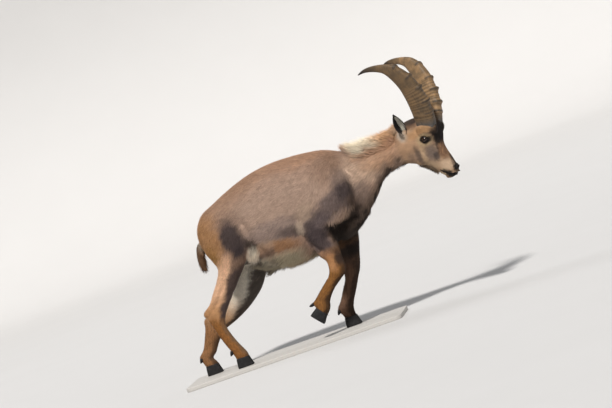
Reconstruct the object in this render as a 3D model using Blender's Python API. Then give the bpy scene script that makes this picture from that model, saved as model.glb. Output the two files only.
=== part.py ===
"""A young male alpine ibex, life size, walking with its right fore hoof lifted, on a flat base.

Lengths are in metres. The animal faces +X, +Y is its left side and +Z is up. Every form is
written from the ground under the hooves. The slope that it climbs is laid level, and the
whole animal stands on a thin base whose underside holds the origin.

A row of a form is one cross section: the outline point at the front or top (x, z), the
outline point at the back or bottom (x, z), the half width, the side offset of its middle,
and how much wider the section is towards its first point.
"""

import math
import random

import bmesh
import bpy
from mathutils import Matrix, Vector
from mathutils.bvhtree import BVHTree

GAP = 0.0003
SOCKET_GAP = 0.0005
CUTTER_REACH = 3.0
CELL_REACH = 0.40
LEG_PARTING = 0.004
FLANK = 0.13

BASE_LENGTH = 1.02
BASE_WIDTH = 0.36
BASE_THICKNESS = 0.018
BASE_CORNER = 0.03
BASE_MIDDLE_X = 0.26

VOXEL = 0.0055
BLEND_PASSES = 30
BODY_TRIANGLES = 3500
HEAD_TRIANGLES = 1700
OVERCUT = 0.012

HEAD_PIVOT = Vector((1.008, -0.020, 0.0))
HEAD_TURN = math.radians(-22)

EYE_RADIUS = 0.0165
EYE_PLACE = Vector((0.150, 0.0465, 0.685))
LID_RADIUS = 0.0195
LID_OPENING = (0.0172, 0.0140, 0.0116)
HOOF_HEIGHT = 0.045

TRUNK = [
    (0.008, 0.612, 0.012, 0.548, 0.035, 0.0, 0.0),
    (0.022, 0.658, 0.028, 0.500, 0.072, 0.0, 0.05),
    (0.060, 0.703, 0.070, 0.460, 0.100, 0.0, 0.1),
    (0.120, 0.730, 0.130, 0.435, 0.118, 0.0, 0.1),
    (0.190, 0.760, 0.200, 0.415, 0.125, 0.0, 0.0),
    (0.260, 0.785, 0.265, 0.385, 0.137, 0.0, -0.1),
    (0.340, 0.806, 0.340, 0.364, 0.151, 0.0, -0.15),
    (0.430, 0.816, 0.430, 0.360, 0.158, 0.0, -0.15),
    (0.520, 0.814, 0.520, 0.372, 0.153, 0.0, -0.12),
    (0.600, 0.806, 0.605, 0.384, 0.140, 0.0, -0.08),
    (0.670, 0.793, 0.680, 0.398, 0.120, 0.0, -0.02),
    (0.725, 0.770, 0.740, 0.430, 0.098, 0.0, 0.0),
    (0.775, 0.746, 0.790, 0.468, 0.076, 0.0, 0.0),
]
NECK = [
    (0.700, 0.782, 0.720, 0.445, 0.093, 0.0, -0.1),
    (0.755, 0.755, 0.793, 0.480, 0.078, 0.0, -0.15),
    (0.810, 0.737, 0.843, 0.525, 0.064, 0.0, -0.18),
    (0.865, 0.734, 0.888, 0.575, 0.055, -0.002, -0.18),
    (0.920, 0.739, 0.930, 0.600, 0.051, -0.006, -0.15),
    (0.970, 0.748, 0.970, 0.607, 0.049, -0.012, -0.1),
    (1.010, 0.759, 1.005, 0.603, 0.049, -0.020, -0.05),
    (1.045, 0.769, 1.040, 0.601, 0.048, -0.030, 0.0),
]
HEAD = [
    (0.000, 0.764, -0.005, 0.608, 0.047, 0.0, 0.0),
    (0.040, 0.781, 0.030, 0.598, 0.051, 0.0, 0.0),
    (0.085, 0.789, 0.062, 0.585, 0.053, 0.0, 0.05),
    (0.140, 0.787, 0.085, 0.572, 0.053, 0.0, 0.12),
    (0.192, 0.768, 0.100, 0.560, 0.052, 0.0, 0.20),
    (0.219, 0.738, 0.111, 0.550, 0.049, 0.0, 0.28),
    (0.213, 0.700, 0.121, 0.541, 0.045, 0.0, 0.25),
    (0.203, 0.660, 0.130, 0.533, 0.039, 0.0, 0.15),
    (0.207, 0.620, 0.139, 0.525, 0.034, 0.0, 0.05),
    (0.218, 0.585, 0.149, 0.515, 0.030, 0.0, 0.0),
    (0.226, 0.555, 0.158, 0.506, 0.0275, 0.0, 0.0),
    (0.231, 0.532, 0.168, 0.497, 0.027, 0.0, 0.0),
    (0.230, 0.512, 0.182, 0.490, 0.024, 0.0, 0.0),
    (0.220, 0.499, 0.196, 0.489, 0.015, 0.0, 0.0),
]
LEG_HIND_RIGHT = [
    (0.210, 0.705, 0.070, 0.670, 0.040, -0.062, 0.0),
    (0.245, 0.620, 0.040, 0.600, 0.052, -0.080, 0.0),
    (0.245, 0.550, 0.030, 0.540, 0.056, -0.088, 0.0),
    (0.222, 0.490, 0.045, 0.490, 0.052, -0.088, 0.0),
    (0.187, 0.435, 0.055, 0.455, 0.044, -0.086, 0.0),
    (0.140, 0.385, 0.035, 0.410, 0.036, -0.084, 0.0),
    (0.095, 0.335, -0.005, 0.355, 0.029, -0.082, 0.0),
    (0.055, 0.290, -0.035, 0.315, 0.024, -0.080, 0.0),
    (0.020, 0.245, -0.076, 0.282, 0.023, -0.080, 0.1),
    (0.006, 0.205, -0.062, 0.235, 0.022, -0.080, 0.1),
    (0.013, 0.165, -0.047, 0.178, 0.0200, -0.080, 0.0),
    (0.031, 0.115, -0.030, 0.125, 0.0190, -0.080, 0.0),
    (0.045, 0.085, -0.017, 0.090, 0.021, -0.080, 0.0),
    (0.055, 0.062, -0.008, 0.060, 0.021, -0.080, 0.0),
    (0.056, 0.040, -0.003, 0.040, 0.022, -0.080, 0.0),
]
LEG_HIND_LEFT = [
    (0.230, 0.705, 0.070, 0.670, 0.040, 0.062, 0.0),
    (0.270, 0.610, 0.040, 0.590, 0.052, 0.080, 0.0),
    (0.275, 0.530, 0.025, 0.525, 0.056, 0.088, 0.0),
    (0.265, 0.450, 0.050, 0.470, 0.052, 0.088, 0.0),
    (0.240, 0.375, 0.105, 0.475, 0.046, 0.086, 0.0),
    (0.195, 0.305, 0.100, 0.400, 0.040, 0.084, 0.0),
    (0.140, 0.258, 0.060, 0.335, 0.033, 0.082, 0.0),
    (0.082, 0.222, 0.020, 0.293, 0.027, 0.080, 0.0),
    (0.022, 0.195, -0.035, 0.268, 0.024, 0.080, 0.0),
    (-0.028, 0.177, -0.106, 0.253, 0.023, 0.080, 0.1),
    (-0.057, 0.155, -0.122, 0.208, 0.022, 0.080, 0.1),
    (-0.082, 0.128, -0.142, 0.162, 0.0200, 0.080, 0.0),
    (-0.107, 0.093, -0.163, 0.122, 0.0190, 0.080, 0.0),
    (-0.128, 0.074, -0.190, 0.092, 0.021, 0.080, 0.0),
    (-0.120, 0.056, -0.184, 0.062, 0.021, 0.080, 0.0),
    (-0.117, 0.040, -0.176, 0.040, 0.022, 0.080, 0.0),
]
LEG_FORE_RIGHT = [
    (0.700, 0.740, 0.640, 0.740, 0.018, -0.050, 0.0),
    (0.735, 0.660, 0.580, 0.665, 0.038, -0.082, 0.0),
    (0.745, 0.580, 0.530, 0.590, 0.054, -0.095, 0.0),
    (0.710, 0.510, 0.485, 0.520, 0.054, -0.096, 0.0),
    (0.640, 0.460, 0.465, 0.470, 0.047, -0.094, 0.0),
    (0.615, 0.420, 0.480, 0.425, 0.038, -0.090, 0.0),
    (0.608, 0.370, 0.495, 0.365, 0.033, -0.085, 0.0),
    (0.603, 0.320, 0.525, 0.325, 0.028, -0.080, 0.0),
    (0.603, 0.282, 0.525, 0.285, 0.027, -0.078, 0.0),
    (0.593, 0.250, 0.515, 0.262, 0.025, -0.076, 0.0),
    (0.565, 0.228, 0.505, 0.250, 0.022, -0.075, 0.0),
    (0.520, 0.195, 0.465, 0.217, 0.0185, -0.075, 0.0),
    (0.488, 0.157, 0.424, 0.182, 0.018, -0.075, 0.0),
    (0.478, 0.130, 0.404, 0.166, 0.021, -0.075, 0.0),
    (0.468, 0.112, 0.408, 0.155, 0.021, -0.075, 0.0),
    (0.449, 0.095, 0.411, 0.140, 0.022, -0.075, 0.0),
]
LEG_FORE_LEFT = [
    (0.700, 0.740, 0.640, 0.740, 0.018, 0.050, 0.0),
    (0.740, 0.660, 0.585, 0.665, 0.038, 0.082, 0.0),
    (0.750, 0.580, 0.560, 0.590, 0.054, 0.095, 0.0),
    (0.735, 0.510, 0.540, 0.520, 0.052, 0.096, 0.0),
    (0.700, 0.450, 0.540, 0.460, 0.045, 0.092, 0.0),
    (0.690, 0.400, 0.552, 0.410, 0.037, 0.088, 0.0),
    (0.678, 0.350, 0.560, 0.355, 0.032, 0.083, 0.0),
    (0.662, 0.300, 0.567, 0.302, 0.028, 0.078, 0.0),
    (0.652, 0.265, 0.568, 0.264, 0.027, 0.076, 0.0),
    (0.638, 0.230, 0.562, 0.233, 0.024, 0.075, 0.0),
    (0.620, 0.200, 0.555, 0.206, 0.020, 0.075, 0.0),
    (0.595, 0.155, 0.530, 0.166, 0.0185, 0.075, 0.0),
    (0.570, 0.115, 0.505, 0.126, 0.018, 0.075, 0.0),
    (0.556, 0.085, 0.480, 0.092, 0.021, 0.075, 0.0),
    (0.552, 0.062, 0.492, 0.060, 0.021, 0.075, 0.0),
    (0.554, 0.040, 0.498, 0.040, 0.022, 0.075, 0.0),
]
TAIL = [
    (0.030, 0.600, 0.030, 0.560, 0.018, 0.0, 0.0),
    (0.000, 0.594, 0.006, 0.556, 0.017, 0.0, 0.0),
    (-0.018, 0.570, -0.002, 0.540, 0.016, 0.0, 0.0),
    (-0.026, 0.535, -0.002, 0.520, 0.014, 0.0, 0.0),
    (-0.026, 0.500, -0.006, 0.495, 0.011, 0.0, 0.0),
    (-0.020, 0.478, -0.010, 0.476, 0.006, 0.0, 0.0),
]
# Middle (x, side, z) of the right horn in the head's own frame, depth front to back, width.
HORN = [
    (0.170, 0.032, 0.735, 0.088, 0.052),
    (0.176, 0.037, 0.768, 0.093, 0.054),
    (0.183, 0.051, 0.820, 0.095, 0.053),
    (0.183, 0.062, 0.870, 0.092, 0.050),
    (0.177, 0.074, 0.920, 0.086, 0.046),
    (0.168, 0.083, 0.955, 0.080, 0.043),
    (0.151, 0.093, 0.990, 0.070, 0.039),
    (0.128, 0.101, 1.020, 0.057, 0.033),
    (0.097, 0.108, 1.040, 0.038, 0.026),
    (0.054, 0.114, 1.053, 0.026, 0.019),
    (0.016, 0.118, 1.056, 0.016, 0.012),
    (-0.017, 0.120, 1.049, 0.004, 0.003),
]
# The line of the mouth from its corner to the lips: (x, z) and the height of the slit.
MOUTH_LINE = [
    (0.158, 0.5340, 0.0004),
    (0.176, 0.5190, 0.0013),
    (0.196, 0.5065, 0.0015),
    (0.250, 0.4970, 0.0016),
]
MUZZLE_REACH = 0.06
MANE_ROWS = 13
MANE_SPAN = (0.808, 0.985)
MANE_LENGTH = 0.055
TAIL_LOCKS = 11
LOCK_TIP = 0.10
LOCK_CLEARANCE = 0.0012
LOCK_SEARCH = 0.012
# Heights of the knobs on each horn's front face, and how far each stands out.
KNOBS = {
    "right": [(0.800, 0.005), (0.845, 0.011), (0.905, 0.012), (0.958, 0.006), (1.012, 0.008)],
    "left": [(0.785, 0.005), (0.822, 0.011), (0.875, 0.013), (0.925, 0.010), (0.990, 0.007)],
}
KNOB_HALF_LENGTH = 0.008

COAT = (0.36, 0.24, 0.17)
COAT_DARK = (0.13, 0.095, 0.085)
COAT_LEG = (0.38, 0.19, 0.09)
HORN_COLOUR = (0.25, 0.17, 0.10)
HOOF_COLOUR = (0.06, 0.06, 0.065)
EYE_COLOUR = (0.02, 0.012, 0.01)
BASE_COLOUR = (0.62, 0.60, 0.57)


def clear_scene():
    for obj in list(bpy.data.objects):
        bpy.data.objects.remove(obj, do_unlink=True)


def material(name, colour, roughness):
    made = bpy.data.materials.new(name)
    made.use_nodes = True
    shader = made.node_tree.nodes["Principled BSDF"]
    shader.inputs["Base Color"].default_value = (*colour, 1.0)
    shader.inputs["Roughness"].default_value = roughness
    shader.inputs["Metallic"].default_value = 0.0
    return made


def object_of(bm, name):
    """The bmesh as a new object in the scene, with its faces pointing out."""
    bmesh.ops.recalc_face_normals(bm, faces=bm.faces)
    if bm.calc_volume(signed=True) < 0:
        bmesh.ops.reverse_faces(bm, faces=bm.faces)
    mesh = bpy.data.meshes.new(name)
    bm.to_mesh(mesh)
    bm.free()
    obj = bpy.data.objects.new(name, mesh)
    bpy.context.scene.collection.objects.link(obj)
    return obj


def applied(obj):
    """The object with its modifiers made part of its mesh."""
    bpy.context.view_layer.update()
    graph = bpy.context.evaluated_depsgraph_get()
    mesh = bpy.data.meshes.new_from_object(obj.evaluated_get(graph))
    obj.modifiers.clear()
    obj.data = mesh
    return obj


def removed(*objects):
    for obj in objects:
        bpy.data.objects.remove(obj, do_unlink=True)


def boolean(obj, other, operation):
    modifier = obj.modifiers.new("cut", "BOOLEAN")
    modifier.operation = operation
    modifier.solver = "EXACT"
    modifier.object = other
    return applied(obj)


def joined(obj, pieces):
    """One Boolean union of the object with a collection of closed pieces, which then go."""
    group = bpy.data.collections.new("pieces")
    for piece in pieces:
        group.objects.link(piece)
    modifier = obj.modifiers.new("union", "BOOLEAN")
    modifier.operation = "UNION"
    modifier.solver = "EXACT"
    modifier.operand_type = "COLLECTION"
    modifier.collection = group
    applied(obj)
    removed(*pieces)
    bpy.data.collections.remove(group)
    return largest_body(obj)


def largest_body(obj):
    """Keeps the largest closed surface, so that no scrap or sealed hollow is left."""
    bm = bmesh.new()
    bm.from_mesh(obj.data)
    bmesh.ops.triangulate(bm, faces=bm.faces)
    unseen = set(bm.verts)
    islands = []
    while unseen:
        island = {unseen.pop()}
        edge_of_island = list(island)
        while edge_of_island:
            vert = edge_of_island.pop()
            near = {e.other_vert(vert) for e in vert.link_edges} & unseen
            unseen -= near
            island |= near
            edge_of_island.extend(near)
        islands.append(island)

    def volume(island):
        faces = {f for v in island for f in v.link_faces}
        corners = ([v.co for v in f.verts] for f in faces)
        return sum(a.dot(b.cross(c)) for a, b, c in corners)

    islands.sort(key=volume)
    scraps = [v for island in islands[:-1] for v in island]
    bmesh.ops.delete(bm, geom=scraps, context="VERTS")
    bm.to_mesh(obj.data)
    bm.free()
    return obj


def smooth_rows(rows, steps):
    """Catmull-Rom rows between the given ones, so that a few make a smooth form."""
    made = []
    for i in range(len(rows) - 1):
        before, this = rows[max(i - 1, 0)], rows[i]
        after, beyond = rows[i + 1], rows[min(i + 2, len(rows) - 1)]
        for step in range(steps):
            t = step / steps
            made.append(
                tuple(
                    b
                    + 0.5 * t * (c - a)
                    + t * t * (a - 2.5 * b + 2 * c - 0.5 * d)
                    + t**3 * (1.5 * b - 0.5 * a - 1.5 * c + 0.5 * d)
                    for a, b, c, d in zip(before, this, after, beyond)
                )
            )
    made.append(rows[-1])
    return made


def close_rings(bm, rings):
    """Bridges each ring of vertices to the next and caps both ends."""
    loops = [[e for e in {e for v in ring for e in v.link_edges}] for ring in rings]
    for this, after in zip(loops, loops[1:]):
        bmesh.ops.bridge_loops(bm, edges=this + after)
    bm.faces.new(rings[0])
    bm.faces.new(rings[-1])


def loft(name, rows, steps=2, segments=20, fullness=1.0):
    """A closed form through one ring for each row."""
    bm = bmesh.new()
    rings = []
    for ax, az, bx, bz, width, side, lean in smooth_rows(rows, steps):
        ring = bmesh.ops.create_circle(bm, segments=segments, radius=1.0)["verts"]
        middle = Vector(((ax + bx) / 2, side, (az + bz) / 2))
        reach = Vector(((ax - bx) / 2, 0.0, (az - bz) / 2))
        for v in ring:
            along = v.co.x
            across = math.copysign(abs(v.co.y) ** fullness, v.co.y)
            v.co = middle + along * reach
            v.co.y += across * width * (1 + lean * along)
        rings.append(ring)
    close_rings(bm, rings)
    return object_of(bm, name)


def ball(name, middle, radii, turn=(0.0, 0.0, 0.0), segments=16):
    """An ellipsoid, turned about X, then Y, then Z by the given degrees."""
    bm = bmesh.new()
    bmesh.ops.create_uvsphere(bm, u_segments=segments, v_segments=segments * 2 // 3, radius=1.0)
    turned = Matrix.Identity(4)
    for axis, angle in zip("XYZ", turn):
        turned = Matrix.Rotation(math.radians(angle), 4, axis) @ turned
    bm.transform(Matrix.Translation(middle) @ turned @ Matrix.Diagonal((*radii, 1.0)))
    return object_of(bm, name)


def head_place():
    """From the head's own frame, which faces +X, to the ground frame."""
    return Matrix.Translation(HEAD_PIVOT) @ Matrix.Rotation(HEAD_TURN, 4, "Z")


def placed(obj, matrix):
    obj.data.transform(matrix)
    return obj


def head_forms():
    """The masses of the skull and the muzzle, both sides alike."""
    forms = [loft("skull", HEAD, steps=3, segments=24, fullness=0.9)]
    for side in (-1, 1):
        eye = Vector((EYE_PLACE.x, side * EYE_PLACE.y, EYE_PLACE.z))
        forms += [
            ball("orbit", eye + Vector((-0.002, -side * 0.008, 0.002)), (0.032, 0.0215, 0.026)),
            ball("lids", eye, (LID_RADIUS, LID_RADIUS, LID_RADIUS)),
            ball("brow", eye + Vector((0.004, -side * 0.004, 0.021)), (0.030, 0.0145, 0.0085), (0, -8, 0)),
            ball("cheek", (0.093, side * 0.028, 0.628), (0.048, 0.021, 0.050)),
            ball("cheek_ridge", (0.165, side * 0.034, 0.655), (0.045, 0.010, 0.008), (0, 62, 0)),
            ball("ear_root", (0.060, side * 0.036, 0.729), (0.022, 0.014, 0.022)),
            ball("horn_root", (0.166, side * 0.034, 0.722), (0.054, 0.0325, 0.043), (0, 8, 0)),
            ball("nostril_wing", (0.219, side * 0.0165, 0.528), (0.015, 0.0105, 0.013)),
            ball("upper_lip", (0.205, side * 0.016, 0.512), (0.025, 0.0105, 0.0090), (0, 26, 0)),
            ball("lower_lip", (0.190, side * 0.012, 0.498), (0.026, 0.008, 0.0065), (0, 16, 0)),
        ]
    forms.append(ball("chin", (0.185, 0.0, 0.496), (0.024, 0.016, 0.010)))
    return [placed(form, head_place()) for form in forms]


def body_forms():
    forms = [
        loft("trunk", TRUNK, steps=2, segments=28, fullness=0.88),
        loft("neck_form", NECK, steps=2, segments=24, fullness=0.95),
    ]
    for rows in (LEG_HIND_RIGHT, LEG_HIND_LEFT, LEG_FORE_RIGHT, LEG_FORE_LEFT):
        forms.append(loft("leg", rows, steps=2, segments=16))
    for side in (-1, 1):
        forms += [
            ball("shoulder_blade", (0.655, side * 0.078, 0.650), (0.058, 0.032, 0.095), (0, 12, 0)),
            ball("upper_arm", (0.640, side * 0.105, 0.565), (0.100, 0.042, 0.050), (0, -30, 0)),
            ball("haunch", (0.135, side * 0.086, 0.580), (0.095, 0.040, 0.100)),
        ]
    forms.append(ball("sheath", (0.285, 0.0, 0.378), (0.040, 0.018, 0.020), (0, -12, 0)))
    return forms + head_forms()


def ramp(value, low, high):
    t = min(1.0, max(0.0, (value - low) / (high - low)))
    return t * t * (3 - 2 * t)


def softness(place):
    """How far the flesh is smoothed: fully on the body, little on legs and head."""
    on_body = ramp(place.z, 0.34, 0.46) * (1 - ramp(place.x, 0.96, 1.04))
    return 0.12 + 0.88 * on_body


def whole_flesh():
    """All flesh as one closed skin, with the forms blended into each other."""
    forms = body_forms()
    bm = bmesh.new()
    for form in forms:
        bm.from_mesh(form.data)
    removed(*forms)
    flesh = object_of(bm, "flesh")
    remesh = flesh.modifiers.new("skin", "REMESH")
    remesh.mode = "VOXEL"
    remesh.voxel_size = VOXEL
    applied(flesh)
    soft = flesh.vertex_groups.new(name="soft")
    for v in flesh.data.vertices:
        soft.add([v.index], softness(v.co), "REPLACE")
    smooth = flesh.modifiers.new("blend", "SMOOTH")
    smooth.factor = 0.5
    smooth.iterations = BLEND_PASSES
    smooth.vertex_group = "soft"
    applied(flesh)
    flesh.vertex_groups.clear()
    return largest_body(flesh)


def thinned(obj, triangles):
    """The object with about this many triangles."""
    count = sum(len(f.vertices) - 2 for f in obj.data.polygons)
    thin = obj.modifiers.new("thin", "DECIMATE")
    thin.ratio = min(1.0, triangles / count)
    return applied(obj)


def offset_outline(outline, by):
    """The outline of a side view, counter-clockwise, with each edge moved out."""
    moved = []
    for before, this, after in zip(outline[-1:] + outline[:-1], outline, outline[1:] + outline[:1]):
        corner = Vector(this)
        back, ahead = (corner - Vector(before)).normalized(), (Vector(after) - corner).normalized()
        out_back, out_ahead = Vector((back.y, -back.x)), Vector((ahead.y, -ahead.x))
        bisector = (out_back + out_ahead).normalized()
        moved.append(corner + bisector * (by / bisector.dot(out_ahead)))
    return moved


def prism(outline, y_low, y_high):
    """A solid with the side view's outline between two planes across the body."""
    bm = bmesh.new()
    face = bm.faces.new([bm.verts.new((x, y_low, z)) for x, z in outline])
    side = bmesh.ops.extrude_face_region(bm, geom=[face])["geom"]
    bmesh.ops.translate(
        bm, verts=[v for v in side if isinstance(v, bmesh.types.BMVert)], vec=(0, y_high - y_low, 0)
    )
    return object_of(bm, "cell")


def leg_cell(outline, side, crotch, haunch, by):
    """The space of one leg: its side view, out from a plane that rises from the crotch.

    The plane passes the crotch at the body's middle and the haunch at the body's flank.
    """
    inner, outer = sorted((side * (LEG_PARTING - by), side * CELL_REACH))
    cell = prism(offset_outline(outline, by), inner, outer)
    rise = Vector((0.0, side * FLANK, haunch - crotch)).normalized()
    up = Vector((0.0, -side * rise.z, side * rise.y))
    above = half_space(Vector((0.0, 0.0, crotch)) + up * by, up)
    boolean(cell, above, "DIFFERENCE")
    removed(above)
    return cell


def half_space(point, normal):
    """A box whose one face lies on the point, reaching away along the normal."""
    bm = bmesh.new()
    bmesh.ops.create_cube(bm, size=CUTTER_REACH)
    turn = Vector(normal).to_track_quat("Z", "Y").to_matrix().to_4x4()
    lift = Matrix.Translation((0, 0, CUTTER_REACH / 2))
    bm.transform(Matrix.Translation(point) @ turn @ lift)
    return object_of(bm, "cell")


def copied(obj, name):
    copy = obj.copy()
    copy.data = obj.data.copy()
    copy.name = name
    bpy.context.scene.collection.objects.link(copy)
    return copy


def cut_by(obj, cell):
    boolean(obj, cell, "DIFFERENCE")
    removed(cell)
    return largest_body(obj)


def split(body, cell, grown, name):
    """Parts what lies in the cell from the body, which is cut by the cell grown by the gap."""
    piece = copied(body, name)
    boolean(piece, cell, "INTERSECT")
    cut_by(body, grown)
    removed(cell)
    return largest_body(piece)


def split_at(body, point, normal, name):
    """Parts what lies beyond a plane."""
    point, normal = Vector(point), Vector(normal).normalized()
    return split(body, half_space(point, normal), half_space(point - normal * GAP, normal), name)


def swollen(obj, by=SOCKET_GAP):
    """A copy whose surface stands a little further out, to cut a socket with."""
    copy = copied(obj, "swollen")
    bm = bmesh.new()
    bm.from_mesh(copy.data)
    bm.normal_update()
    moves = [(v, v.normal * by * v.calc_shell_factor()) for v in bm.verts]
    for v, move in moves:
        v.co += move
    bm.to_mesh(copy.data)
    bm.free()
    return copy


def socket(host, piece):
    return cut_by(host, swollen(piece))


def horn(side_name):
    """A horn curved back and out, round behind and flat in front, with knobs on its face."""
    side = -1 if side_name == "right" else 1
    rows = smooth_rows(HORN, 3)
    bm = bmesh.new()
    rings = []
    for i, (x, y, z, depth, width) in enumerate(rows):
        before, after = rows[max(i - 1, 0)], rows[min(i + 1, len(rows) - 1)]
        along = Vector(after[:3]) - Vector(before[:3])
        along.normalize()
        out = Vector((0, 1, 0))
        front = out.cross(along).normalized()
        out = along.cross(front).normalized()
        rings.append((Vector((x, y, z)), front, out, depth / 2, width / 2))
    made = []
    for middle, front, out, depth, width in rings:
        stand = sum(
            height * math.exp(-(((middle.z - at) / KNOB_HALF_LENGTH) ** 2))
            for at, height in KNOBS[side_name]
        )
        ring = bmesh.ops.create_circle(bm, segments=10, radius=1.0)["verts"]
        for v in ring:
            ahead, beside = v.co.x, v.co.y
            squared = math.copysign(abs(beside) ** 0.8, beside)
            reach = depth * ahead
            if ahead > 0.2:
                reach = depth * (0.55 + 0.45 * ahead) * min(1.0, ahead * 1.6) + stand
            spread = width * squared * (1 + 0.12 * ahead)
            place = middle + front * reach + out * spread
            v.co = Vector((place.x, side * place.y, place.z))
        made.append(ring)
    close_rings(bm, made)
    obj = object_of(bm, "horn_" + side_name)
    return placed(obj, head_place())


def ear(name, root, tip, opening, length=0.108):
    """A cupped leaf with a wall, closed to a tube at its root and pointed at its tip."""
    bm = bmesh.new()
    bmesh.ops.create_grid(bm, x_segments=6, y_segments=6, size=1.0)
    along = (Vector(tip) - Vector(root)).normalized()
    open_way = Vector(opening)
    open_way = (open_way - along * open_way.dot(along)).normalized()
    aside = along.cross(open_way)
    for v in bm.verts:
        u = (v.co.x + 1) / 2
        radius = 0.0125 + 0.010 * math.sin(math.pi * min(1.0, u * 1.05)) - 0.0085 * u**3
        wrap = math.radians(150 - 95 * u**0.6)
        angle = v.co.y * wrap
        spread = aside * math.sin(angle) - open_way * math.cos(angle)
        v.co = Vector(root) + along * (length * u) + spread * radius
    obj = object_of(bm, name)
    wall = obj.modifiers.new("wall", "SOLIDIFY")
    wall.thickness = 0.0032
    wall.offset = 0.0
    applied(obj)
    bm = bmesh.new()
    bm.from_mesh(obj.data)
    bmesh.ops.triangulate(bm, faces=bm.faces)
    bmesh.ops.recalc_face_normals(bm, faces=bm.faces)
    bm.to_mesh(obj.data)
    bm.free()
    return placed(obj, head_place())


def mouth_and_nostrils(head):
    """Cuts the line of the mouth and the nostrils, and opens the lids."""
    upper_line = [(x, z) for x, z, _ in MOUTH_LINE]
    lower_line = [(x, z - gape) for x, z, gape in reversed(MOUTH_LINE)]
    slit = prism(upper_line[::-1] + lower_line[::-1], -MUZZLE_REACH, MUZZLE_REACH)
    cutters = [slit]
    for side in (-1, 1):
        nostril = (0.226, side * 0.0195, 0.529)
        cutters.append(ball("nostril", nostril, (0.0085, 0.0075, 0.0040), (0, -38, side * 25)))
        opening = Vector((EYE_PLACE.x + 0.001, side * (EYE_PLACE.y + EYE_RADIUS), EYE_PLACE.z))
        cutters.append(ball("opening", opening, LID_OPENING, (0, 12, 0)))
    for cutter in cutters:
        cut_by(head, placed(cutter, head_place()))


def lock(root, stand, lie, length, width, thickness, sink=0.006, rings=3):
    """A flat, tapered lock that leaves the skin along one direction and bends into another."""
    stand, lie = Vector(stand).normalized(), Vector(lie).normalized()
    flat = stand.cross(lie).normalized()
    place = Vector(root) - stand * sink
    bm = bmesh.new()
    made = []
    for i in range(rings + 1):
        t = i / rings
        way = stand.lerp(lie, t**0.7).normalized()
        edge = way.cross(flat)
        swell = LOCK_TIP + (1 - LOCK_TIP) * (1 - t**1.5) * (0.8 + 0.8 * t)
        ring = bmesh.ops.create_circle(bm, segments=4, radius=0.5)["verts"]
        for v in ring:
            v.co = place + (edge * (v.co.x * width) + flat * (v.co.y * thickness)) * swell
        made.append(ring)
        place = place + way * ((length + sink) / rings)
    close_rings(bm, made)
    bmesh.ops.triangulate(bm, faces=bm.faces)
    return object_of(bm, "lock")


def skin_of(obj):
    return BVHTree.FromObject(obj, bpy.context.evaluated_depsgraph_get())


def skin_point(skin, origin, way):
    """Where a ray from inside the node leaves its skin, or nothing."""
    far = Vector(origin) + Vector(way).normalized() * CUTTER_REACH
    point = skin.ray_cast(far, -Vector(way))[0]
    return point


def touches(skin, place):
    """Whether a point lies inside a skin or too close to it."""
    point, normal, _, distance = skin.find_nearest(place)
    inside = (place - point).dot(normal) < 0 and distance < LOCK_SEARCH
    return inside or distance < LOCK_CLEARANCE


def clear(locks, neighbours):
    """Drops the locks that reach into a neighbouring node, or come too close to it."""
    skins = [skin_of(neighbour) for neighbour in neighbours]
    kept = []
    for piece in locks:
        if any(touches(skin, v.co) for skin in skins for v in piece.data.vertices):
            removed(piece)
        else:
            kept.append(piece)
    return kept


def mane(neck, torso, head):
    """Pale locks along the nape, standing up and lying back over the withers."""
    dice = random.Random(7)
    skin = skin_of(neck)
    made = []
    for i in range(MANE_ROWS):
        t = i / (MANE_ROWS - 1)
        for across in (-1, 0, 1):
            x = MANE_SPAN[0] + (MANE_SPAN[1] - MANE_SPAN[0]) * t + 0.005 * across
            side = across * 0.012 - 0.018 * ramp(x, 0.88, 1.0)
            root = skin_point(skin, (x, side + dice.uniform(-0.002, 0.002), 0.66), (0, 0, 1))
            length = MANE_LENGTH * (0.85 + 0.25 * math.sin(math.pi * t)) * dice.uniform(0.88, 1.08)
            stand = (-0.50, 0.18 * across, 0.85)
            lie = (-0.97, 0.20 * across + dice.uniform(-0.06, 0.06), 0.34 - 0.16 * t)
            made.append(lock(root, stand, lie, length, 0.024, 0.007))
    return joined(neck, clear(made, (torso, head)))


def fringe(node, neighbours, roots, out, lie, length, width, seed):
    """Overlapping locks that leave a node's underside and lie along it."""
    dice = random.Random(seed)
    skin = skin_of(node)
    made = []
    for origin in roots:
        root = skin_point(skin, origin, out)
        bend = Vector(lie) + Vector((0, dice.uniform(-0.12, 0.12), dice.uniform(-0.06, 0.06)))
        made.append(lock(root, out, bend, length * dice.uniform(0.85, 1.12), width, 0.007))
    return joined(node, clear(made, neighbours))


def belly_fringe(torso, legs):
    """Cream hair of the belly, longest in the middle, lying back."""
    roots = [(0.340 + 0.022 * i, 0.030 * (-1) ** i, 0.45) for i in range(6)]
    fringe(torso, legs, roots, (-0.60, 0, -0.8), (-0.98, 0, -0.05), 0.044, 0.030, 5)


def throat_fringe(neck, torso):
    """Dark hair under the neck, lying down towards the chest."""
    roots = [(0.873 + 0.020 * i, 0.014 * (-1) ** i - 0.004, 0.62) for i in range(6)]
    fringe(neck, (torso,), roots, (-0.55, 0, -0.85), (-0.86, 0, -0.50), 0.040, 0.024, 6)


def beard(head, neck):
    """The short dark beard along the underside of the jaw, swept back."""
    turn = head_place()
    turned = turn.to_3x3()
    roots = [turn @ Vector((0.098 + 0.0075 * i, 0.006 * (-1) ** i, 0.60)) for i in range(9)]
    out, lie = turned @ Vector((-0.55, 0, -0.85)), turned @ Vector((-0.62, 0, -0.78))
    fringe(head, (neck,), roots, out, lie, 0.026, 0.020, 9)


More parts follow.
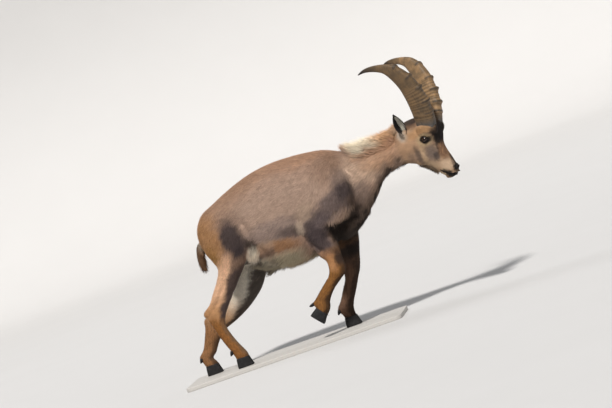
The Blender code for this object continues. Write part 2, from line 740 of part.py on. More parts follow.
def tail_locks(tail, torso):
    """The dark tuft of the tail, its locks fanned out and past its end."""
    dice = random.Random(3)
    made = []
    for i in range(TAIL_LOCKS):
        t = i / (TAIL_LOCKS - 1)
        turn = math.pi + 1.35 * (-1) ** i * (0.25 + 0.75 * ((i * 0.37) % 1.0))
        around = Vector((math.cos(turn), math.sin(turn), 0))
        root = Vector((-0.014 - 0.004 * t, 0, 0.566 - 0.075 * t)) + around * 0.009
        out, lie = around + Vector((0, 0, -0.5)), around * 0.22 + Vector((0, 0, -1.0))
        made.append(lock(root, out, lie, 0.052 * dice.uniform(0.85, 1.1), 0.020, 0.008))
    return joined(tail, clear(made, (torso,)))


def claw(name, coronet, side_offset, inner_side, pitch):
    """One half of a cloven hoof, from the coronet plane down to its flat sole."""
    rows = [
        (0.0265, -GAP, -0.0285, -GAP, 0.0102, inner_side * 0.0125, 0.0),
        (0.0330, -0.022, -0.0320, -0.022, 0.0110, inner_side * 0.0132, -0.15),
        (0.0390, -HOOF_HEIGHT, -0.0335, -HOOF_HEIGHT, 0.0115, inner_side * 0.0138, -0.25),
    ]
    obj = loft(name, rows, steps=1, segments=12, fullness=0.85)
    x, z = coronet
    turn = Matrix.Rotation(math.radians(pitch), 4, "Y")
    return placed(obj, Matrix.Translation((x, side_offset, z)) @ turn)


def dewclaw(name, place, pitch):
    rows = [
        (0.0075, 0.004, -0.0060, 0.004, 0.0055, 0.0, 0.0),
        (0.0075, -0.006, -0.0065, -0.006, 0.0062, 0.0, 0.0),
        (0.0040, -0.014, -0.0055, -0.014, 0.0045, 0.0, 0.0),
        (-0.0010, -0.019, -0.0035, -0.019, 0.0018, 0.0, 0.0),
    ]
    obj = loft(name, rows, steps=1, segments=6)
    turn = Matrix.Rotation(math.radians(pitch), 4, "Y")
    return placed(obj, Matrix.Translation(place) @ turn)


def stand_base():
    bm = bmesh.new()
    bmesh.ops.create_cube(bm, size=1.0)
    bm.transform(Matrix.Diagonal((BASE_LENGTH, BASE_WIDTH, BASE_THICKNESS, 1.0)))
    upright = [e for e in bm.edges if abs(e.verts[0].co.z - e.verts[1].co.z) > BASE_THICKNESS / 2]
    bmesh.ops.bevel(
        bm, geom=upright, offset=BASE_CORNER, segments=6, profile=0.5, affect="EDGES", material=-1
    )
    bm.transform(Matrix.Translation((BASE_MIDDLE_X, 0.0, -BASE_THICKNESS / 2 - GAP)))
    return object_of(bm, "stand_base")


# Side views of the space of a hind leg and of a fore leg, counter-clockwise.
HIND_OUTLINE = [
    (-0.35, -0.1),
    (0.30, -0.1),
    (0.285, 0.345),
    (0.262, 0.40),
    (0.225, 0.64),
    (-0.35, 0.64),
]
FORE_OUTLINE = [
    (0.20, -0.1),
    (0.90, -0.1),
    (0.745, 0.40),
    (0.735, 0.62),
    (0.49, 0.62),
    (0.462, 0.36),
    (0.20, 0.34),
]
# Each leg: rows, side, side view of its space, crotch and haunch of its slanted top, height
# of the cut below the hock or knee, middle of the coronet (x, z), pitch of the hoof, and
# place and pitch of its dewclaws.
LEGS = {
    "hind_right": (
        LEG_HIND_RIGHT, -1, HIND_OUTLINE, (0.43, 0.62), 0.212, (0.0265, 0.045), 0, (-0.012, 0.082), 20
    ),
    "hind_left": (
        LEG_HIND_LEFT, 1, HIND_OUTLINE, (0.42, 0.62), 0.150, (-0.1465, 0.045), 0, (-0.184, 0.084), 20
    ),
    "fore_right": (
        LEG_FORE_RIGHT, -1, FORE_OUTLINE, (0.40, 0.60), 0.232, (0.434, 0.1215), 50, (0.406, 0.162), 70
    ),
    "fore_left": (
        LEG_FORE_LEFT, 1, FORE_OUTLINE, (0.40, 0.60), 0.212, (0.526, 0.045), 0, (0.484, 0.084), 20
    ),
}


def foot(leg_name, lower):
    """Both claws and both dewclaws of a leg. The leg ends in a flat at the coronet."""
    rows, side, _, _, _, coronet, pitch, dew_place, dew_pitch = LEGS[leg_name]
    side_offset = rows[-1][5]
    turn = Matrix.Rotation(math.radians(pitch), 4, "Y")
    down = turn @ Vector((0, 0, -1))
    cut_by(lower, half_space(Vector((coronet[0], side_offset, coronet[1])), down))
    made = []
    for which, inner_side in (("inner", -side), ("outer", side)):
        made.append(claw(f"hoof_{leg_name}_{which}", coronet, side_offset, inner_side, pitch))
        place = (dew_place[0], side_offset + inner_side * 0.012, dew_place[1])
        claw_behind = dewclaw(f"dewclaw_{leg_name}_{which}", place, dew_pitch)
        socket(lower, claw_behind)
        made.append(claw_behind)
    return made


def finish(obj, finish_material, angle=40):
    obj.data.materials.clear()
    obj.data.materials.append(finish_material)
    obj.data.shade_smooth()
    obj.data.set_sharp_from_angle(angle=math.radians(angle))


def main():
    clear_scene()
    coat = material("coat", COAT, 0.85)
    leg_coat = material("leg_coat", COAT_LEG, 0.85)
    dark = material("dark_coat", COAT_DARK, 0.85)
    horn_finish = material("horn", HORN_COLOUR, 0.5)
    hoof_finish = material("hoof", HOOF_COLOUR, 0.5)
    eye_finish = material("eye", EYE_COLOUR, 0.08)
    base_finish = material("base", BASE_COLOUR, 0.6)

    torso = whole_flesh()
    torso.name = "torso"
    turned = Matrix.Rotation(HEAD_TURN / 2, 4, "Z")
    nape = Vector((1.008, -0.02, 0.68))
    ahead = turned @ Vector((1.0, 0.0, 0.02))
    head = copied(torso, "head")
    cut_by(head, half_space(nape - ahead * OVERCUT, -ahead))
    cut_by(torso, half_space(nape + ahead * OVERCUT, ahead))
    thinned(head, HEAD_TRIANGLES)
    thinned(torso, BODY_TRIANGLES)
    cut_by(head, half_space(nape + ahead * GAP / 2, -ahead))
    cut_by(torso, half_space(nape - ahead * GAP / 2, ahead))
    neck = split_at(torso, (0.790, 0.0, 0.61), (0.985, 0.0, 0.17), "neck")
    flesh = [(torso, coat), (neck, coat), (head, coat)]
    others = []
    for leg_name, (rows, side, outline, slant, cut, *_) in LEGS.items():
        cell, grown = (leg_cell(outline, side, *slant, by) for by in (0.0, GAP))
        upper = split(torso, cell, grown, f"leg_{leg_name}_upper")
        lower = split_at(upper, (rows[-1][0], rows[-1][5], cut), (0, 0, -1), f"leg_{leg_name}_lower")
        others += [(piece, hoof_finish) for piece in foot(leg_name, lower)]
        flesh += [(upper, leg_coat), (lower, leg_coat)]

    tail = loft("tail", TAIL, steps=1, segments=10)
    socket(torso, tail)
    tail_locks(tail, torso)
    others.append((tail, dark))
    eyes = []
    mouth_and_nostrils(head)
    for side_name, side in (("right", -1), ("left", 1)):
        middle = Vector((EYE_PLACE.x, side * EYE_PLACE.y, EYE_PLACE.z))
        eye = placed(ball("eye_" + side_name, middle, [EYE_RADIUS] * 3, (90, 0, 0), 12), head_place())
        eyes.append(eye)
        horn_piece = horn(side_name)
        socket(head, horn_piece)
        others += [(eye, eye_finish), (horn_piece, horn_finish)]
    ears = [
        ear("ear_right", (0.060, -0.046, 0.736), (0.066, -0.096, 0.840), (0.55, -0.75, 0.1)),
        ear("ear_left", (0.075, 0.046, 0.738), (0.030, 0.125, 0.778), (0.50, 0.30, 0.6)),
    ]
    for eye in eyes:
        socket(head, eye)
    for piece in ears:
        socket(head, piece)
        others.append((piece, coat))
    mane(neck, torso, head)
    throat_fringe(neck, torso)
    belly_fringe(torso, [piece for piece, _ in flesh if "upper" in piece.name])
    beard(head, neck)
    others.append((stand_base(), base_finish))

    stance = bpy.data.objects.new("stance", None)
    bpy.context.scene.collection.objects.link(stance)
    stance.location = (-BASE_MIDDLE_X, 0.0, BASE_THICKNESS + GAP)
    for obj, finish_material in flesh + others:
        finish(obj, finish_material)
        obj.parent = stance


main()
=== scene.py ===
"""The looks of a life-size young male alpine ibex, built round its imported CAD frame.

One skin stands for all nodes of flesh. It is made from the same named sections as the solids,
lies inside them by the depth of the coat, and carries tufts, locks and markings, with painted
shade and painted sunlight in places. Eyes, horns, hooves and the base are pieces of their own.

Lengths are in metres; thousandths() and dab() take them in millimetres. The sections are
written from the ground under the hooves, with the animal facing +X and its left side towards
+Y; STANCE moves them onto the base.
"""

import math

import bmesh
import bpy
import numpy as np
from bpy.props import FloatProperty, FloatVectorProperty, IntProperty, PointerProperty
from mathutils import Matrix, Vector
from mathutils.bvhtree import BVHTree


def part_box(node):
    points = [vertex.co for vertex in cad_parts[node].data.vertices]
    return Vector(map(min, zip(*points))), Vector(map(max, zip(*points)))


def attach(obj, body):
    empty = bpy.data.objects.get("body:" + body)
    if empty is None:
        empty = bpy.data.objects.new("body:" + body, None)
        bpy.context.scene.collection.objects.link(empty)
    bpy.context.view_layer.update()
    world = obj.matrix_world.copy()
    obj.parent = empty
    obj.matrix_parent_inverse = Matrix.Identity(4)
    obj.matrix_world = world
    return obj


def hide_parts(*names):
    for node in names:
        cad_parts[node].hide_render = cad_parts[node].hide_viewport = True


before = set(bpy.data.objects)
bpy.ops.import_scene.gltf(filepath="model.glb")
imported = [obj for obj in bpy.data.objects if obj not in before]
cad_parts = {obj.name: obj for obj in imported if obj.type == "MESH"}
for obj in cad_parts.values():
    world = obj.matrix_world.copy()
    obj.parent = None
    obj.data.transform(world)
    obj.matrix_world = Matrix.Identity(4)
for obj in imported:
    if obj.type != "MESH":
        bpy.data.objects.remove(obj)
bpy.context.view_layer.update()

bl_info = {
    "name": "Alpine ibex",
    "version": (1, 0, 0),
    "blender": (4, 5, 0),
    "location": "3D View > Sidebar > Ibex",
    "description": "Skin, coat, eyes, horns, hooves and base of a life-size ibex model",
    "category": "Object",
}

GAP = 0.0003
BASE_MIDDLE_X = 0.26
STANCE = Vector((-BASE_MIDDLE_X, 0.0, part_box("stand_base")[1].z + GAP))

# The camera: level with the animal and turned by the slope that the animal climbs.
CAMERA_DISTANCE = 12.0
CAMERA_AZIMUTH = math.radians(8)
CAMERA_ELEVATION = math.radians(2)
SLOPE = math.radians(20)
VIEW_WIDTH = 2.7295
VIEW_MIDDLE = Vector((0.5184, 0.0, 0.5897))
VIEW_X = VIEW_MIDDLE.x

HEAD_PIVOT = Vector((1.008, -0.020, 0.0))
HEAD_TURN = math.radians(-22)
# From the head's own frame, which faces +X, to the ground frame.
HEAD_PLACE = Matrix.Translation(HEAD_PIVOT) @ Matrix.Rotation(HEAD_TURN, 4, "Z")
HEAD_AXES = np.array(HEAD_PLACE.to_3x3())
EYE_RADIUS = 0.0165
EYE_PLACE = Vector((0.150, 0.0465, 0.685))
LID_RADIUS = 0.0195
NOSTRIL = Vector((0.225, 0.0185, 0.529))
HOOF_HEIGHT = 0.045
HORN_SEGMENTS = 48
KNOB_REACH = 0.0075
# The horns' growth rings: spacing, drift of the phase, its waves to the metre, share of the depth.
RINGS = [(0.0052, 1.2, 90, 1.0), (0.0021, 2.0, 61, 0.3)]
CORNEA = 0.035
BOARD_CORNER = 0.03
BOARD_EDGE = 0.0022

SKIN_TRIANGLES = 150000
UNWRAP_TRIANGLES = 1600
UNWRAP_MARGIN = 0.012
SHORT_COAT_LIMIT = 49000
SHORT_COAT_STAND = 0.26
EAR_COAT = 0.006
COAT_DEPTH = 0.20
ROOT_DEPTH = 0.0012
# Width of a short tuft: its least, and the share of its length that comes on top.
TUFT_WIDTH = (0.0005, 0.075)
TUFT_CROWDING = 1.05
UV_PATCH = 0.0015


def thousandths(value):
    """Numbers written in thousandths, such as millimetres, as decimals. Rows stay rows."""
    if isinstance(value, (int, float)):
        return value / 1000
    return [thousandths(v) for v in value]


# A row of a form is one cross section: the outline point at the front or top (x, z), the one
# at the back or bottom (x, z), the half width, the side offset and how many thousandths wider
# the section is towards its first point.
TRUNK = thousandths([
    (8, 612, 12, 548, 35, 0, 0),
    (22, 658, 28, 500, 72, 0, 50),
    (60, 703, 70, 460, 100, 0, 100),
    (120, 730, 130, 435, 118, 0, 100),
    (190, 760, 200, 415, 125, 0, 0),
    (260, 785, 265, 385, 137, 0, -100),
    (340, 806, 340, 364, 151, 0, -150),
    (430, 816, 430, 360, 158, 0, -150),
    (520, 814, 520, 372, 153, 0, -120),
    (600, 806, 605, 384, 140, 0, -80),
    (670, 793, 680, 398, 120, 0, -20),
    (725, 770, 740, 430, 98, 0, 0),
    (775, 746, 790, 468, 76, 0, 0),
])
NECK = thousandths([
    (700, 782, 720, 445, 93, 0, -100),
    (755, 755, 793, 480, 78, 0, -150),
    (810, 737, 843, 525, 64, 0, -180),
    (865, 734, 888, 575, 55, -2, -180),
    (920, 739, 930, 600, 51, -6, -150),
    (970, 748, 970, 607, 49, -12, -100),
    (1010, 759, 1005, 603, 49, -20, -50),
    (1045, 769, 1040, 601, 48, -30, 0),
])
HEAD = thousandths([
    (0, 764, -5, 608, 47, 0, 0),
    (40, 781, 30, 598, 51, 0, 0),
    (85, 789, 62, 585, 53, 0, 50),
    (140, 787, 85, 572, 53, 0, 120),
    (192, 768, 100, 560, 52, 0, 200),
    (219, 738, 111, 550, 49, 0, 280),
    (213, 700, 121, 541, 45, 0, 250),
    (203, 660, 130, 533, 39, 0, 150),
    (207, 620, 139, 525, 34, 0, 50),
    (218, 585, 149, 515, 30, 0, 0),
    (226, 555, 158, 506, 27.5, 0, 0),
    (231, 532, 168, 497, 27, 0, 0),
    (230, 512, 182, 490, 24, 0, 0),
    (220, 499, 196, 489, 15, 0, 0),
])
LEG_HIND_RIGHT = thousandths([
    (210, 705, 70, 670, 40, -62, 0),
    (245, 620, 40, 600, 52, -80, 0),
    (245, 550, 30, 540, 56, -88, 0),
    (222, 490, 45, 490, 52, -88, 0),
    (187, 435, 55, 455, 44, -86, 0),
    (140, 385, 35, 410, 36, -84, 0),
    (95, 335, -5, 355, 29, -82, 0),
    (55, 290, -35, 315, 24, -80, 0),
    (20, 245, -76, 282, 23, -80, 100),
    (6, 205, -62, 235, 22, -80, 100),
    (13, 165, -47, 178, 20, -80, 0),
    (31, 115, -30, 125, 19, -80, 0),
    (45, 85, -17, 90, 21, -80, 0),
    (55, 62, -8, 60, 21, -80, 0),
    (56, 40, -3, 40, 22, -80, 0),
])
LEG_HIND_LEFT = thousandths([
    (230, 705, 70, 670, 40, 62, 0),
    (270, 610, 40, 590, 52, 80, 0),
    (275, 530, 25, 525, 56, 88, 0),
    (265, 450, 50, 470, 52, 88, 0),
    (240, 375, 105, 475, 46, 86, 0),
    (195, 305, 100, 400, 40, 84, 0),
    (140, 258, 60, 335, 33, 82, 0),
    (82, 222, 20, 293, 27, 80, 0),
    (22, 195, -35, 268, 24, 80, 0),
    (-28, 177, -106, 253, 23, 80, 100),
    (-57, 155, -122, 208, 22, 80, 100),
    (-82, 128, -142, 162, 20, 80, 0),
    (-107, 93, -163, 122, 19, 80, 0),
    (-128, 74, -190, 92, 21, 80, 0),
    (-120, 56, -184, 62, 21, 80, 0),
    (-117, 40, -176, 40, 22, 80, 0),
])
LEG_FORE_RIGHT = thousandths([
    (700, 740, 640, 740, 18, -50, 0),
    (735, 660, 580, 665, 38, -82, 0),
    (745, 580, 530, 590, 54, -95, 0),
    (710, 510, 485, 520, 54, -96, 0),
    (640, 460, 465, 470, 47, -94, 0),
    (615, 420, 480, 425, 38, -90, 0),
    (608, 370, 495, 365, 33, -85, 0),
    (603, 320, 525, 325, 28, -80, 0),
    (603, 282, 525, 285, 27, -78, 0),
    (593, 250, 515, 262, 25, -76, 0),
    (565, 228, 505, 250, 22, -75, 0),
    (520, 195, 465, 217, 18.5, -75, 0),
    (488, 157, 424, 182, 18, -75, 0),
    (478, 130, 404, 166, 21, -75, 0),
    (468, 112, 408, 155, 21, -75, 0),
    (449, 95, 411, 140, 22, -75, 0),
])
LEG_FORE_LEFT = thousandths([
    (700, 740, 640, 740, 18, 50, 0),
    (740, 660, 585, 665, 38, 82, 0),
    (750, 580, 560, 590, 54, 95, 0),
    (735, 510, 540, 520, 52, 96, 0),
    (700, 450, 540, 460, 45, 92, 0),
    (690, 400, 552, 410, 37, 88, 0),
    (678, 350, 560, 355, 32, 83, 0),
    (662, 300, 567, 302, 28, 78, 0),
    (652, 265, 568, 264, 27, 76, 0),
    (638, 230, 562, 233, 24, 75, 0),
    (620, 200, 555, 206, 20, 75, 0),
    (595, 155, 530, 166, 18.5, 75, 0),
    (570, 115, 505, 126, 18, 75, 0),
    (556, 85, 480, 92, 21, 75, 0),
    (552, 62, 492, 60, 21, 75, 0),
    (554, 40, 498, 40, 22, 75, 0),
])
TAIL = thousandths([
    (30, 600, 30, 560, 18, 0, 0),
    (0, 594, 6, 556, 17, 0, 0),
    (-18, 570, -2, 540, 16, 0, 0),
    (-26, 535, -2, 520, 14, 0, 0),
    (-26, 500, -6, 495, 11, 0, 0),
    (-20, 478, -10, 476, 6, 0, 0),
])
# Middle (x, side, z) of the right horn in the head's own frame, depth front to back, width.
HORN = thousandths([
    (170, 32, 735, 88, 52),
    (176, 37, 768, 93, 54),
    (183, 51, 820, 95, 53),
    (183, 62, 870, 92, 50),
    (177, 74, 920, 86, 46),
    (168, 83, 955, 80, 43),
    (151, 93, 990, 70, 39),
    (128, 101, 1020, 57, 33),
    (97, 108, 1040, 38, 26),
    (54, 114, 1053, 26, 19),
    (16, 118, 1056, 16, 12),
    (-17, 120, 1049, 4, 3),
])
# Heights of the knobs on each horn's front face, and how far each stands out.
KNOBS = {
    "right": [(0.800, 0.005), (0.845, 0.011), (0.905, 0.012), (0.958, 0.006), (1.012, 0.008)],
    "left": [(0.785, 0.005), (0.822, 0.011), (0.875, 0.013), (0.925, 0.010), (0.990, 0.007)],
}
MOUTH_LINE = thousandths([(158, 534), (176, 518.5), (196, 506), (215, 500), (240, 497.5)])
# Each ear: root, tip, the way it opens, all in the head's own frame.
EARS = {
    "right": ((0.060, -0.046, 0.736), (0.066, -0.096, 0.840), (0.55, -0.75, 0.1)),
    "left": ((0.075, 0.046, 0.738), (0.030, 0.125, 0.778), (0.50, 0.30, 0.6)),
}
EAR_LENGTH = 0.108
# Each leg: its rows, side, middle of the coronet (x, z), pitch of the hoof, and place (x, z)
# and pitch of its dewclaws.
LEGS = {
    "hind_right": (LEG_HIND_RIGHT, -1, (0.0265, 0.045), 0, (-0.012, 0.082), 20),
    "hind_left": (LEG_HIND_LEFT, 1, (-0.1465, 0.045), 0, (-0.184, 0.084), 20),
    "fore_right": (LEG_FORE_RIGHT, -1, (0.434, 0.1215), 50, (0.406, 0.162), 70),
    "fore_left": (LEG_FORE_LEFT, 1, (0.526, 0.045), 0, (0.484, 0.084), 20),
}
# Lines of the side view, as points (x, z): the underside of chest and neck, and the nape.
THROAT = thousandths([
    (600, 384), (680, 398), (740, 430), (793, 480), (843, 525), (888, 575), (930, 600),
    (970, 607), (1040, 601),
])
NAPE = thousandths([
    (700, 782), (755, 755), (810, 737), (865, 734), (920, 739), (970, 748), (1010, 759),
    (1045, 769),
])
# The neck's middle turns aside, and the mane is longest over its middle: both over x.
NECK_SIDE = thousandths([(810, 0), (865, -2), (920, -6), (970, -12), (1010, -20), (1045, -30)])
MANE = thousandths([(750, 34), (780, 58), (820, 78), (900, 74), (960, 58), (1040, 34)])
# Folds as seen from the side: the line along each (x, z), its half width and its depth, which
# is negative where a ridge stands out.
FOLDS = thousandths([
    (((458, 540), (452, 490), (468, 430), (500, 375)), 20, 13),
    (((478, 520), (484, 470), (500, 410)), 18, -2),
    (((222, 600), (228, 530), (250, 480), (275, 430)), 22, 12),
    (((192, 600), (200, 520), (190, 460)), 20, -2),
    (((745, 680), (755, 600), (742, 520), (715, 460)), 24, 9),
    (((712, 650), (722, 590), (708, 530)), 22, -2),
    (((720, 475), (660, 458), (600, 450), (565, 430)), 20, 14),
    (((700, 505), (640, 490), (585, 490)), 18, -2),
    (((560, 640), (575, 570), (545, 520)), 35, 4),
    (((115, 640), (105, 540), (80, 440), (30, 350)), 20, 4),
    (((640, 760), (690, 720), (735, 690)), 25, 4),
    (((780, 560), (860, 620), (960, 645), (1010, 640)), 20, 4),
    (((790, 700), (880, 705), (980, 715)), 25, 3),
    (((300, 500), (380, 480), (445, 470)), 22, 4),
    (((250, 700), (190, 690), (120, 660)), 35, 4),
    (((50, 375), (10, 330), (-30, 290)), 10, 4),
    (((75, 335), (-10, 305), (-75, 255)), 11, 3.5),
])
# Muscles as seen from the side: middle (x, z), half sizes and how far each stands out.
MUSCLES = thousandths([
    (150, 600, 70, 50, 4),
    (60, 600, 50, 60, 3),
    (650, 640, 40, 70, 4),
    (600, 560, 60, 40, 4),
    (545, 455, 35, 40, 4),
    (555, 335, 22, 35, 3),
])
# How the legs are marked outside and inside: back and front above hock or knee and below, the
# share down it where hock or knee lies, and where across it the dark front starts, high and low.
LEG_TINTS = {
    "hind": (
        # Hind legs, outside: the peach behind is pale hair, painted lighter as painted sunlight.
        ("peach", "dark", (0.25, 0.105, 0.030), (0.17, 0.095, 0.050), 0.62, 0.02, 0.45),
        (
            (0.68, 0.62, 0.52), (0.050, 0.037, 0.032), (0.27, 0.130, 0.055),
            (0.09, 0.050, 0.028), 0.62, 0.10, 0.35,
        ),
    ),
    "fore": (
        (
            (0.43, 0.215, 0.095), (0.040, 0.026, 0.020), (0.24, 0.105, 0.030),
            (0.045, 0.026, 0.015), 0.55, 0.15, 0.30,
        ),
        # Forelegs, inside, as the far foreleg shows: near black, partly dark hair and partly
        # painted shade.
        (
            (0.045, 0.032, 0.026), (0.022, 0.016, 0.014), (0.13, 0.072, 0.046),
            (0.035, 0.022, 0.016), 0.50, 0.00, 0.15,
        ),
    ),
}
# Rings round the eye: offset from its middle (x, z), half sizes, turn, edge, tint, strength.
EYE_MARKS = [
    (0.000, -0.001, 0.037, 0.029, 0, 0.25, (0.40, 0.29, 0.17), 0.85),
    (0.024, -0.004, 0.012, 0.012, 0, 0.5, (0.03, 0.022, 0.018), 0.9),
    (0.001, 0.000, 0.0255, 0.0185, -8, 0.22, (0.012, 0.009, 0.008), 1.0),
]
REGIONS = ["head", "neck", "trunk_front_right", "trunk_front_left", "trunk_rear_right",
           "trunk_rear_left", "legs_fore", "legs_hind"]
FLESH_NODES = ["torso", "neck", "head", "tail", "ear_right", "ear_left"] + [
    f"leg_{leg}_{half}" for leg in LEGS for half in ("upper", "lower")
]


class IbexSizes(bpy.types.PropertyGroup):
    voxel: FloatProperty(
        name="Skin detail", description="Grid that blends the forms", default=0.0026, unit="LENGTH"
    )
    hair: FloatProperty(
        name="Body hair", description="Length of the flank's hair", default=0.017, unit="LENGTH"
    )
    tufts: IntProperty(
        name="Tufts", description="Tufts of short hair over the whole skin", default=250000
    )
    growth_rings: FloatProperty(
        name="Horn rings", description="Depth of the fine rings", default=0.0007, unit="LENGTH"
    )


def colour_property(name, description, value):
    return FloatVectorProperty(
        name=name, description=description, default=value, subtype="COLOR", size=3, min=0, max=1
    )


class IbexColours(bpy.types.PropertyGroup):
    tan: colour_property("Tan", "Back and sides", (0.40, 0.262, 0.190))
    pinkish: colour_property("Pinkish tan", "Flanks", (0.40, 0.285, 0.22))
    slate: colour_property("Slate brown", "Edge of the shoulder patch", (0.115, 0.088, 0.086))
    dark: colour_property("Dark grey brown", "Shoulder and thigh front", (0.055, 0.041, 0.041))
    # Near black stands partly for the dark hair of chest and throat and partly for painted shade
    # under them and in the fold before the thigh.
    black: colour_property("Black brown", "Chest, brow and throat", (0.008, 0.006, 0.005))
    orange: colour_property("Orange brown", "Rump and legs", (0.37, 0.190, 0.080))
    # Peach stands for the pale hair behind the thighs, painted lighter as painted sunlight.
    peach: colour_property("Peach", "Back of the thigh", (0.76, 0.46, 0.29))
    cream: colour_property("Cream", "Mane, groin and belly", (0.72, 0.63, 0.47))
    horn: colour_property("Horn", "Olive brown horn", (0.155, 0.100, 0.052))
    hoof: colour_property("Hoof", "Slate hoof", (0.012, 0.0115, 0.012))
    iris: colour_property("Iris", "Dark amber iris", (0.030, 0.012, 0.005))
    base: colour_property("Base", "Matt warm grey paint", (0.52, 0.50, 0.47))


class Value:
    """A number socket of a shader that takes part in Python's arithmetic."""

    def __init__(self, shader, socket):
        self.shader, self.socket = shader, socket

    def maths(self, operation, *values):
        node = self.shader.node("ShaderNodeMath", {"operation": operation}, dict(enumerate(values)))
        return Value(self.shader, node.outputs[0])

    def __add__(self, other):
        return self.maths("ADD", self, other)

    def __sub__(self, other):
        return self.maths("SUBTRACT", self, other)

    def __mul__(self, other):
        return self.maths("MULTIPLY", self, other)

    def __rsub__(self, other):
        return self.maths("SUBTRACT", other, self)

    def __pow__(self, other):
        return self.maths("POWER", self, other)

    __radd__, __rmul__ = __add__, __mul__

    def clamped(self, low, high):
        """0 below the low value and 1 above the high one."""
        inputs = {"Value": self, "From Min": low, "From Max": high}
        node = self.shader.node("ShaderNodeMapRange", {"interpolation_type": "SMOOTHSTEP"}, inputs)
        return Value(self.shader, node.outputs[0])


class Shader:
    """A material built node by node."""

    def __init__(self, name):
        self.material = bpy.data.materials.new(name)
        self.material.use_nodes = True
        self.tree = self.material.node_tree
        self.principled = self.tree.nodes["Principled BSDF"]

    def node(self, kind, settings=None, inputs=None):
        made = self.tree.nodes.new(kind)
        for setting, value in (settings or {}).items():
            setattr(made, setting, value)
        self.feed(made, inputs or {})
        return made

    def feed(self, node, inputs):
        for which, value in inputs.items():
            value = value.socket if isinstance(value, Value) else value
            if isinstance(value, bpy.types.NodeSocket):
                self.tree.links.new(value, node.inputs[which])
            else:
                node.inputs[which].default_value = value

    def finish(self, **inputs):
        self.feed(self.principled, {name.replace("_", " "): v for name, v in inputs.items()})
        return self.material

    def place(self, stretch=(1.0, 1.0, 1.0)):
        """Object coordinates, drawn out where a stretch is below 1."""
        coordinates = self.node("ShaderNodeTexCoord").outputs["Object"]
        mapping = self.node("ShaderNodeMapping", None, {"Vector": coordinates, "Scale": stretch})
        return mapping.outputs[0]

    def attribute(self, name):
        return self.node("ShaderNodeAttribute", {"attribute_name": name}).outputs

    def noise(self, place, scale, detail=3.0, roughness=0.6):
        inputs = {"Vector": place, "Scale": scale, "Detail": detail, "Roughness": roughness}
        return Value(self, self.node("ShaderNodeTexNoise", None, inputs).outputs[0])

    def mixed(self, factor, one, other):
        """One colour blended into another."""
        made = self.node("ShaderNodeMix", {"data_type": "RGBA"}, {"Factor": factor})
        colours = [s for s in made.inputs if s.type == "RGBA"]
        for socket, colour in zip(colours, (one, other)):
            if isinstance(colour, bpy.types.NodeSocket):
                self.tree.links.new(colour, socket)
            else:
                socket.default_value = (*colour, 1.0)
        return next(s for s in made.outputs if s.type == "RGBA")

    def scaled(self, colour, factor):
        """A colour made lighter or darker."""
        inputs = {"Vector": colour, "Scale": factor}
        return self.node("ShaderNodeVectorMath", {"operation": "SCALE"}, inputs).outputs[0]

    def bump(self, height, distance, strength=0.6):
        inputs = {"Height": height, "Distance": distance, "Strength": strength}
        return self.node("ShaderNodeBump", None, inputs).outputs[0]


def ramp(value, low, high):
    """0 below low, 1 above high, smooth between them; for one number or an array."""
    t = np.clip((np.asarray(value, float) - low) / (high - low), 0.0, 1.0)
    return t * t * (3 - 2 * t)


def unit(vectors):
    return vectors / np.maximum(np.linalg.norm(vectors, axis=-1, keepdims=True), 1e-12)


def ripple(place, size, seed):
    """A smooth noise between about -1 and 1, the same for skin and coat."""
    dice = np.random.default_rng(seed)
    waves = unit(dice.normal(size=(7, 3))) * dice.uniform(0.6, 1.6, (7, 1)) / size
    phases = dice.uniform(0, 2 * math.pi, 7)
    return np.sin(place @ waves.T * 2 * math.pi + phases).mean(axis=1) * 1.8
def mix(one, other, amount):
    """The one value at an amount of 0 and the other at 1."""
    return one * (1 - amount) + other * amount


def between(value, low, full, late, high):
    """1 from full to late and 0 beyond low and high, smooth in between."""
    return ramp(value, low, full) * ramp(-value, -high, -late)


def strayed(place, size, seed, stretch=1.0):
    """A random offset at each point in the side view, which frays the edges of markings."""
    ahead, up = ripple(place * (stretch, 1, 1), size, seed), ripple(place, size, seed + 1)
    return np.stack([ahead, np.zeros(len(place)), up], axis=1)


def smooth_rows(rows, steps):
    """Catmull-Rom rows between the given ones, so that a few make a smooth form."""
    made = []
    for i in range(len(rows) - 1):
        before, this = rows[max(i - 1, 0)], rows[i]
        after, beyond = rows[i + 1], rows[min(i + 2, len(rows) - 1)]
        for step in range(steps):
            t = step / steps
            made.append(
                tuple(
                    b
                    + 0.5 * t * (c - a)
                    + t * t * (a - 2.5 * b + 2 * c - 0.5 * d)
                    + t**3 * (1.5 * b - 0.5 * a - 1.5 * c + 0.5 * d)
                    for a, b, c, d in zip(before, this, after, beyond)
                )
            )
    made.append(rows[-1])
    return made

def linked(name, data):
    """A new object of the scene with the data."""
    obj = bpy.data.objects.new(name, data)
    bpy.context.scene.collection.objects.link(obj)
    return obj


def object_of(bm, name):
    """The bmesh as a new object in the scene, with its faces pointing out."""
    bmesh.ops.recalc_face_normals(bm, faces=bm.faces)
    if bm.calc_volume(signed=True) < 0:
        bmesh.ops.reverse_faces(bm, faces=bm.faces)
    mesh = bpy.data.meshes.new(name)
    bm.to_mesh(mesh)
    bm.free()
    return linked(name, mesh)


def take(bm, obj):
    """Moves an object's faces into the bmesh."""
    bm.from_mesh(obj.data)
    bpy.data.objects.remove(obj, do_unlink=True)


def applied(obj):
    """The object with its modifiers made part of its mesh."""
    bpy.context.view_layer.update()
    graph = bpy.context.evaluated_depsgraph_get()
    mesh = bpy.data.meshes.new_from_object(obj.evaluated_get(graph))
    obj.modifiers.clear()
    obj.data = mesh
    return obj


def close_rings(bm, rings):
    """Bridges each ring of vertices to the next and caps both ends."""
    loops = [list({e for v in ring for e in v.link_edges}) for ring in rings]
    for this, after in zip(loops, loops[1:]):
        bmesh.ops.bridge_loops(bm, edges=this + after)
    bm.faces.new(rings[0])
    bm.faces.new(rings[-1])


